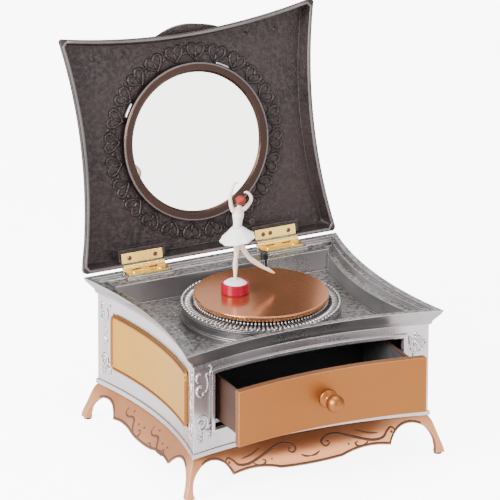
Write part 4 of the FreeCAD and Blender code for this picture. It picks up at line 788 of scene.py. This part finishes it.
def add_lid_ornament():
    """Hearts round the mirror, the same outside with corner flourishes, and the mirror's lip and clips."""
    inside = Relief()
    add_hearts(inside, True, RING_OUT + 0.3, 1.12, HEARTS)
    for x in BOSSES:
        inside.bead(lid_face(True, (x, BOSS_UP)), (0, 0), 1.6, 0.35)
    inside.build("lid_heart_border", "dark_bronze", "lid")
    outside = Relief()
    add_hearts(outside, False, OUTER_RING, 0.95, OUTER_HEARTS)
    rose(outside, lid_face(False, (0, MIRROR_UP)), 13.0)
    for hand in (-1, 1):
        for u, up in ((22.0, -1), (104.0, 1)):
            place = lid_face(False, (hand * 50.0, u))
            for points, thick in ((FLOURISH, 0.8), (SPRIG, 0.7)):
                outside.line(place, [(hand * x, up * y) for x, y in points], thick)
            outside.bead(place, (hand * 3.2, up * 6.8), 1.1)
            outside.bead(place, (hand * -3.2, up * 5.0), 0.9)
    outside.build("lid_outer_scrolls", "dark_bronze", "lid")
    lip = Relief()
    loop = []
    for k in range(RING_STEPS + 1):
        x, u = round_mirror(RING_OUT - RING_LIP_IN, 2 * math.pi * k / RING_STEPS)
        loop.append(on_lid(x * MM, u * MM, RING_DEEP))
    tube_mesh(lip.verts, lip.faces, loop, [RING_LIP_THICK * MM] * len(loop), 8, LID_OUT, 0.6)
    lip.build("mirror_ring_lip", "lip_bronze", "lid")
    clips = Relief()
    for degrees in (62.0, 149.0):
        arc = []
        for k in range(-4, 5):
            x, u = round_mirror(RING_OUT + CLIP_OUT, math.radians(degrees) + k * CLIP_STEP)
            arc.append(on_lid(x * MM, u * MM, CLIP_DEEP * MM))
        tube_mesh(clips.verts, clips.faces, arc, [CLIP_THICK * MM] * len(arc), 8, LID_OUT, 1.6)
    clips.build("mirror_clips", "silver", "lid")


# ---- lining, knob

def pad_sheet(verts, faces, place, count_u, count_v):
    """A closed padded sheet: place(u, v, side) gives the outer (1) or the inner (0) skin."""
    start = len(verts)
    for side in (0, 1):
        for i in range(count_u + 1):
            for j in range(count_v + 1):
                verts.append(place(i / count_u, j / count_v, side))
    row, skin = count_v + 1, (count_u + 1) * (count_v + 1)
    for side in (0, 1):
        for i in range(count_u):
            for j in range(count_v):
                a = start + side * skin + i * row + j
                quad = (a, a + row, a + row + 1, a + 1)
                faces.append(quad if side else quad[::-1])
    rim = [(i, 0) for i in range(count_u)] + [(count_u, j) for j in range(count_v)]
    rim += [(i, count_v) for i in range(count_u, 0, -1)] + [(0, j) for j in range(count_v, 0, -1)]
    for k, (i, j) in enumerate(rim):
        i2, j2 = rim[(k + 1) % len(rim)]
        a, b = start + i * row + j, start + i2 * row + j2
        faces.append((a, b, b + skin, a + skin))


PAD_THICK, PAD_PUFF, FLOOR_LIFT = 0.75, 0.75, 0.2
FRONT_DIP = 4.9
LONG_PAD, SHORT_PAD, WALL_ROWS = 96, 56, 22


def add_velvet():
    """The drawer's padded velvet: a soft floor cushion and four wall pads, puckered at the seams."""
    low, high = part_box("drawer_lining")
    low, high = low + Vector((0.1, 0.1, 0.05)) * MM, high - Vector((0.1, 0.1, 0.0)) * MM
    half = high.x
    verts, faces = [], []

    def front_y(x):
        return low.y + FRONT_DIP * MM * (1 - (x / half) ** 2)

    def swell(u, v, phase):
        edge = min(u, 1 - u, v, 1 - v)
        rise = min(1.0, edge / 0.07) ** 0.5
        ripple = 0.16 * math.sin(19 * u + phase) * math.sin(13 * v + 1.7 * phase)
        crease = 0.12 * noise_at(Vector((u * 9 + phase, v * 9, phase)))
        return PAD_THICK * MM + PAD_PUFF * MM * rise * (0.8 + ripple + crease)

    def across(u):
        return -half + 2 * half * u

    def floor(u, v, side):
        y = front_y(across(u)) + (high.y - front_y(across(u))) * v
        return Vector((across(u), y, low.z + (swell(u, v, 0.0) + FLOOR_LIFT * MM if side else 0)))

    def wall(normal, along, phase):
        def place(u, v, side):
            spot = Vector((*along(u), low.z)) + Vector((0, 0, (high.z - low.z) * v))
            return spot + Vector(normal) * (swell(u, v, phase) if side else 0)
        return place

    def side_y(u):
        return low.y + (high.y - low.y) * u

    pad_sheet(verts, faces, floor, LONG_PAD, SHORT_PAD)
    for normal, along, phase, columns in (
            ((1, 0, 0), lambda u: (-half, side_y(u)), 1.3, SHORT_PAD),
            ((-1, 0, 0), lambda u: (half, side_y(u)), 2.1, SHORT_PAD),
            ((0, -1, 0), lambda u: (across(u), high.y), 3.7, LONG_PAD),
            ((0, 1, 0), lambda u: (across(u), front_y(across(u))), 4.4, LONG_PAD)):
        pad_sheet(verts, faces, wall(normal, along, phase), columns, WALL_ROWS)
    velvet = add_mesh("drawer_velvet", verts, faces, "velvet", "drawer")
    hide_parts("drawer_lining")


def lathe(verts, faces, centre, axis, profile, sides=48):
    """A turned shape from (radius, distance along the axis) pairs in millimetres."""
    one = axis.orthogonal().normalized()
    other = axis.cross(one)
    rings = []
    for radius, along in profile:
        ring = []
        for k in range(sides):
            angle = 2 * math.pi * k / sides
            ring.append(centre + axis * (along * MM)
                        + (one * math.cos(angle) + other * math.sin(angle)) * (radius * MM))
        rings.append(ring)
    skin_rings(verts, faces, rings)


KNOB_BALL = 4.8
KNOB_COLLAR = [(4.9, 0.0), (5.1, 0.2), (5.1, 0.9), (4.8, 1.3), (4.1, 1.5), (3.8, 1.8), (3.2, 2.0),
               (2.5, 2.5), (2.3, 3.0), (2.35, 3.6)]


def add_knob():
    """A ball knob on a stepped collar, turned in one piece."""
    low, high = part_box("drawer_knob")
    reach = (high.y - low.y) / MM
    profile = list(KNOB_COLLAR)
    for k in range(1, 20):
        angle = math.radians(-60 + 150 * k / 20)
        profile.append((KNOB_BALL * math.cos(angle), reach - KNOB_BALL + KNOB_BALL * math.sin(angle)))
    profile.append((0.3, reach))
    verts, faces = [], []
    lathe(verts, faces, Vector(((low.x + high.x) / 2, high.y, (low.z + high.z) / 2)), Vector((0, -1, 0)),
          profile)
    knob = add_mesh("knob_turned", verts, faces, frame_slot("drawer_front"), "drawer")
    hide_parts("drawer_knob")


# ---- the dancer

CUP = Vector((middle("dancer_cup").x, middle("dancer_cup").y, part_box("dancer_cup")[0].z))


def limb(verts, faces, path, sides=12, steps=5):
    """A smooth limb through (x, y, z, radius) points in the dancer's own millimetres."""
    points = spline([Vector(p[:3]) for p in path], steps)
    radii = [v.x for v in spline([Vector((p[3], 0, 0)) for p in path], steps)]
    tube_mesh(verts, faces, [CUP + p * MM for p in points], [max(r, 0.2) * MM for r in radii], sides)


def blob(verts, faces, centre, radius, squash=(1, 1, 1)):
    ball_mesh(verts, faces, CUP + Vector(centre) * MM, radius * MM, 10, 16, squash)


def sculpt(name, verts, faces, slot, voxel=0.24, smooth=4):
    """Weld overlapping shapes into one skin, then relax it."""
    obj = add_mesh(name, verts, faces, slot, "dancer")
    skin = obj.modifiers.new("skin", "REMESH")
    skin.mode = "VOXEL"
    skin.voxel_size = voxel * MM
    relax = obj.modifiers.new("relax", "SMOOTH")
    relax.factor = 0.5
    relax.iterations = smooth
    graph = bpy.context.evaluated_depsgraph_get()
    mesh = bpy.data.meshes.new_from_object(obj.evaluated_get(graph))
    obj.modifiers.clear()
    old = obj.data
    obj.data = mesh
    bpy.data.meshes.remove(old)
    for face in mesh.polygons:
        face.use_smooth = True
    return obj


HEAD = Vector((2.5, 0.1, 50.9))


DOLL_LIMBS = {
    "standing_leg": [(0, 0, 3.95, 0.55), (0, 0, 5.0, 0.75), (0.05, -0.1, 6.6, 1.05), (0.05, 0, 8.2, 0.85),
                     (0.1, 0.1, 11.0, 1.05), (0.2, 0.35, 15.0, 1.4), (0.3, 0.2, 18.5, 1.2),
                     (0.5, -0.05, 20.5, 1.25), (0.8, 0, 25.0, 1.75), (1.0, 0, 30.0, 2.2)],
    "free_leg": [(1.4, 0, 30.0, 2.1), (3.4, 0, 25.6, 1.75), (6.4, 0, 20.6, 1.4), (8.2, 0, 18.0, 1.25),
                 (10.8, 0.2, 15.6, 1.4), (14.0, 0.2, 13.0, 1.25), (17.5, 0, 10.4, 0.9),
                 (19.2, 0, 9.5, 1.0), (21.2, 0, 8.0, 0.8), (23.2, 0, 6.7, 0.45)],
    "torso_and_neck": [(1.1, 0, 29.0, 3.0), (1.2, 0, 33.0, 2.4), (1.2, 0, 36.4, 1.95), (1.3, 0, 40.0, 2.15),
                       (1.5, 0, 43.6, 2.7), (1.6, 0, 46.0, 2.5), (1.9, 0, 47.2, 1.4),
                       (2.2, 0, 48.0, 1.15), (2.4, 0, 50.0, 1.1)],
    "shoulders": [(4.9, 0, 45.9, 1.3), (1.6, 0, 46.4, 1.5), (-1.6, 0, 46.1, 1.25)],
    "left_arm": [(-1.3, 0, 45.8, 1.3), (-2.4, 0, 48.4, 1.15), (-2.9, 0, 51.0, 1.05), (-3.1, 0, 53.4, 0.95),
                 (-2.5, 0, 56.8, 0.85), (-1.3, 0.2, 60.0, 0.7), (0.0, 0.3, 61.3, 0.6),
                 (1.5, 0.4, 61.1, 0.4)],
    "right_arm": [(4.6, 0, 45.8, 1.3), (6.8, 0, 47.4, 1.15), (8.7, 0, 49.6, 1.0), (9.1, 0, 51.2, 0.95),
                  (8.7, 0, 52.8, 0.88), (7.4, 0.1, 54.6, 0.72), (6.2, 0.2, 55.2, 0.62),
                  (5.0, 0.3, 55.0, 0.42)],
}


def add_doll_figure():
    """Bare parts: standing leg on pointe, free leg out to +X, torso, both arms raised and the head."""
    verts, faces = [], []
    for path in DOLL_LIMBS.values():
        limb(verts, faces, path)
    blob(verts, faces, HEAD, 2.4, (0.9, 1.0, 1.15))
    blob(verts, faces, HEAD + Vector((0, 1.15, -1.4)), 1.35, (0.9, 0.8, 0.9))
    blob(verts, faces, HEAD + Vector((0, 2.4, -0.3)), 0.4, (0.7, 1.0, 1.3))
    figure = sculpt("doll_figure", verts, faces, "doll_ivory")
    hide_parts("dancer_figure")


def add_doll_dress():
    """A short bell skirt in shallow folds, tipped up over the free leg, and a strapped bodice."""
    verts, faces = [], []
    turns, levels = 96, 18
    outer, inner = [], []
    for j in range(levels + 1):
        t = j / levels
        for k in range(turns):
            angle = 2 * math.pi * k / turns
            fold = 0.30 * t * t * math.cos(9 * angle) + 0.10 * t * math.cos(18 * angle + 0.6)
            tip = 1.5 * t * math.cos(angle)
            radius = 2.45 + 6.7 * t ** 0.85 + fold
            spot = CUP + Vector((1.2 + radius * math.cos(angle), 0.97 * radius * math.sin(angle),
                                 36.8 - 6.3 * t - 0.4 * math.sin(math.pi * t) + tip)) * MM
            outer.append(spot)
            inner.append(spot - Vector((0, 0, 0.6 * MM)))
    verts.extend(outer + inner)
    skin = len(outer)
    for j in range(levels):
        for k in range(turns):
            a, b = j * turns + k, j * turns + (k + 1) % turns
            faces.append((a, b, b + turns, a + turns))
            faces.append((skin + a, skin + a + turns, skin + b + turns, skin + b))
    for k in range(turns):
        a, b = k, (k + 1) % turns
        faces.append((a, skin + a, skin + b, b))
        a, b = levels * turns + k, levels * turns + (k + 1) % turns
        faces.append((a, b, skin + b, skin + a))
    skirt = add_mesh("doll_skirt", verts, faces, "doll_dress", "dancer")
    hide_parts("dancer_tutu")

    verts, faces = [], []
    limb(verts, faces, [(1.2, 0, 35.2, 2.7), (1.2, 0, 37.0, 2.3), (1.3, 0, 40.0, 2.45),
                        (1.5, 0, 42.8, 3.0), (1.6, 0, 44.4, 2.85)], 20)
    for x in (0.5, 2.7):
        blob(verts, faces, (x, 1.5, 43.0), 1.4)
    limb(verts, faces, [(-0.2, 1.7, 43.8, 0.5), (-0.5, 0.2, 46.7, 0.6), (-0.1, -1.8, 44.2, 0.5)])
    limb(verts, faces, [(3.4, 1.7, 43.8, 0.5), (3.9, 0.2, 46.6, 0.6), (3.5, -1.8, 44.2, 0.5)])
    sculpt("doll_bodice", verts, faces, "doll_dress", 0.26, 3)


def add_doll_head():
    """Red hair swept back in strands to a coiled bun, and the eyes, brows and lips."""
    verts, faces = [], []
    blob(verts, faces, HEAD + Vector((0, -0.75, 0.45)), 2.65, (0.98, 0.90, 1.04))
    for k in range(9):
        side = math.sin(math.radians(-80 + 20 * k))
        strand = [(2.3 * side, 1.4 - 0.9 * abs(side), 1.9 - 0.8 * abs(side), 0.45),
                  (2.5 * side, -0.9, 2.3 - 1.2 * abs(side), 0.5),
                  (1.9 * side, -2.5, 1.4 - 1.0 * abs(side), 0.5),
                  (0.8 * side, -3.0, 1.3, 0.5)]
        limb(verts, faces, [(HEAD.x + x, HEAD.y + y, HEAD.z + z, r) for x, y, z, r in strand], 8, 4)
    bun_x, bun_y, bun_z = HEAD.x + 0.3, HEAD.y - 2.7, HEAD.z + 1.3
    for k in range(3):
        coil = []
        for i in range(13):
            angle = 2 * math.pi * i / 12
            reach = 1.5 - 0.42 * k
            coil.append((bun_x + reach * math.cos(angle), bun_y - 0.4 * k - 0.3 * math.sin(angle),
                         bun_z + reach * math.sin(angle), 0.5))
        limb(verts, faces, coil, 8, 2)
    blob(verts, faces, (bun_x, bun_y, bun_z), 1.3)
    hair = sculpt("doll_hair", verts, faces, "doll_hair", 0.2, 1)
    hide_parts("dancer_hair")

    verts, faces = [], []
    for x in (HEAD.x - 0.85, HEAD.x + 0.85):
        eye_y, eye_z = HEAD.y + 2.15, HEAD.z + 0.2
        blob(verts, faces, (x, eye_y, eye_z), 0.32, (1.1, 0.5, 0.7))
        limb(verts, faces, [(x - 0.5, eye_y, eye_z + 0.6, 0.1), (x, eye_y + 0.14, eye_z + 0.8, 0.1),
                            (x + 0.5, eye_y, eye_z + 0.6, 0.1)], 6, 3)
    add_mesh("doll_eyes", verts, faces, "doll_eyes", "dancer")
    verts, faces = [], []
    lip_y, lip_z = HEAD.y + 2.0, HEAD.z - 1.6
    limb(verts, faces, [(HEAD.x - 0.45, lip_y, lip_z, 0.13), (HEAD.x, lip_y + 0.22, lip_z - 0.1, 0.24),
                        (HEAD.x + 0.45, lip_y, lip_z, 0.13)], 8, 3)
    add_mesh("doll_lips", verts, faces, "doll_hair", "dancer")


# ---- small fittings

LEAF_SCREWS_UP, PILOT_SHIFT, SCREW_APART = 4.9, 4.4, 3
SINK = [(1.2, 0.0), (1.2, 0.16), (0.95, 0.22), (0.3, 0.16)]


def add_hinge_marks():
    """A dark sink at each screw head and at a spare pilot hole in the right leaf."""
    marks = Relief()
    groups, last = [], None
    for x in sorted({round(v.co.x / MM) for v in frame["nodes"]["hinge_screws_lid"].data.vertices}):
        if last is None or x - last > SCREW_APART:
            groups.append([])
        groups[-1].append(x)
        last = x
    holes = [sum(group) / len(group) for group in groups]
    holes.append(holes[2] + PILOT_SHIFT)
    for x in holes:
        start = on_lid(x * MM, LEAF_SCREWS_UP * MM, -0.02)
        spot = strike("hinge_screws_lid", start, LID_OUT) or strike("hinge_leaves_lid", start, LID_OUT)
        if spot:
            hit, normal = spot
            lathe(marks.verts, marks.faces, hit - normal * 0.1 * MM, normal, SINK, 20)
    marks.build("hinge_screw_sinks", "dark_line", "lid")


LID_DIP_FRONT, LID_DIP_SIDE, LID_CORNER = 7.5, 7.0, 3.0
LIP_INSET, LIP_DEEP = 0.95, -0.5


def add_lid_bead():
    """A soft raised lip along the lid's rim, lighter at its edges, partly where it is rubbed and partly as a
    painted highlight.
    """
    shell = [v.co - HINGE for v in frame["nodes"]["lid_shell"].data.vertices]
    ups = [v.dot(LID_UP) / MM for v in shell]
    low, high = min(ups), max(ups)
    half_w = max(v.x for v in shell) / MM - LIP_INSET
    half_h = (high - low) / 2 - LIP_INSET
    mid = (high + low) / 2
    steps = [-1 + 2 * k / 40 for k in range(41)]
    flat = []
    for share in steps:
        x = share * (half_w - LID_CORNER)
        flat.append((x, mid + half_h - LID_DIP_FRONT * (1 - (x / half_w) ** 2)))
    for share in steps:
        s = -share * (half_h - LID_CORNER)
        flat.append((half_w - LID_DIP_SIDE * (1 - (s / half_h) ** 2), mid + s))
    for share in (1, 0, -1):
        flat.append((share * (half_w - LID_CORNER), mid - half_h))
    for share in steps:
        s = share * (half_h - LID_CORNER)
        flat.append((LID_DIP_SIDE * (1 - (s / half_h) ** 2) - half_w, mid + s))
    path = [on_lid(x * MM, u * MM, LIP_DEEP * MM) for x, u in flat]
    path.append(path[0].copy())
    verts, faces = [], []
    tube_mesh(verts, faces, path, [0.8 * MM] * len(path), 8, LID_OUT, 0.55)
    add_mesh("lid_lip", verts, faces, "lip_bronze", "lid")


# ---- camera, light, floor

VIEW_AZIMUTH, VIEW_ELEVATION, VIEW_ROLL = -26.6, 21.6, 0.3
VIEW_DISTANCE, VIEW_WIDTH, SENSOR = 4.0, 0.26205, 36
AIM_UP, AIM_SHIFT_RIGHT, AIM_SHIFT_UP = 100.0, -6.81, 4.93


def add_camera():
    """A long lens from the front left and above; VIEW_WIDTH metres fill the picture at its aim."""
    azimuth, elevation, roll = map(math.radians, (VIEW_AZIMUTH, VIEW_ELEVATION, VIEW_ROLL))
    back = Vector((math.sin(azimuth) * math.cos(elevation),
                   -math.cos(azimuth) * math.cos(elevation), math.sin(elevation)))
    right = Vector((math.cos(azimuth), math.sin(azimuth), 0))
    up = back.cross(right)
    aim = Vector((0, CASE_MID.y, AIM_UP * MM)) + (right * AIM_SHIFT_RIGHT + up * AIM_SHIFT_UP) * MM
    camera = add_object("camera", bpy.data.cameras.new("camera"))
    camera.data.sensor_width = SENSOR
    camera.data.lens = SENSOR * VIEW_DISTANCE / VIEW_WIDTH
    camera.location = aim + back * VIEW_DISTANCE
    turned = Matrix((right * math.cos(roll) + up * math.sin(roll),
                     up * math.cos(roll) - right * math.sin(roll), back)).transposed()
    camera.rotation_mode = "QUATERNION"
    camera.rotation_quaternion = turned.to_quaternion()
    camera.data.clip_end = 20
    bpy.context.scene.camera = camera


LIGHTS_AIM = Vector((0, 0, 0.08))


def add_light(name, place, size, power, colour=(1, 1, 1)):
    lamp = bpy.data.lights.new(name, "AREA")
    lamp.shape = "RECTANGLE"
    lamp.size, lamp.size_y = size
    lamp.energy = power
    lamp.color = colour
    obj = add_object(name, lamp)
    obj.location = place
    obj.rotation_mode = "QUATERNION"
    obj.rotation_quaternion = (Vector(place) - LIGHTS_AIM).to_track_quat("Z", "Y")


WORLD_LIGHT, FLOOR_GLOW = 1.1, 7.0
FLOOR_HALF, FLOOR_DROP = 8, 0.0002


def add_studio():
    """Soft white light from all sides, three lamps, and a floor that only the camera sees glow."""
    world = bpy.data.worlds.new("world")
    bpy.context.scene.world = world
    world.use_nodes = True
    world.node_tree.nodes["Background"].inputs[0].default_value = (1.0, 1.0, 1.0, 1)
    world.node_tree.nodes["Background"].inputs[1].default_value = WORLD_LIGHT
    add_light("key_left", (-1.1, -0.35, 0.75), (0.7, 0.7), 44)
    add_light("top", (0.1, 0.1, 1.3), (0.8, 0.6), 11)
    add_light("front", (0.5, -1.2, 0.5), (0.5, 0.7), 4, (1.0, 0.96, 0.92))
    material, nodes, links = new_material("floor_look")
    shader = add_shader(nodes, links, base_color=(0.93, 0.93, 0.93, 1), roughness=0.6,
                        emission_color=(1, 1, 1, 1))
    path = nodes.new("ShaderNodeLightPath")
    links.new(ranged(nodes, links, path.outputs["Is Camera Ray"], 0.0, FLOOR_GLOW),
              shader.inputs["Emission Strength"])
    corners = [(x * FLOOR_HALF, y * FLOOR_HALF, -FLOOR_DROP)
               for x, y in ((-1, -1), (1, -1), (1, 1), (-1, 1))]
    mesh = bpy.data.meshes.new("floor")
    mesh.from_pydata(corners, [], [(0, 1, 2, 3)])
    floor = add_object("floor", mesh)
    floor.data.materials.append(material)


add_case_ornament()
add_panel_edges()
add_stand_engraving()
add_platform_beading()
add_lid_ornament()
add_lid_bead()
add_velvet()
add_knob()
add_doll_figure()
add_doll_dress()
add_doll_head()
add_hinge_marks()
add_camera()
add_studio()
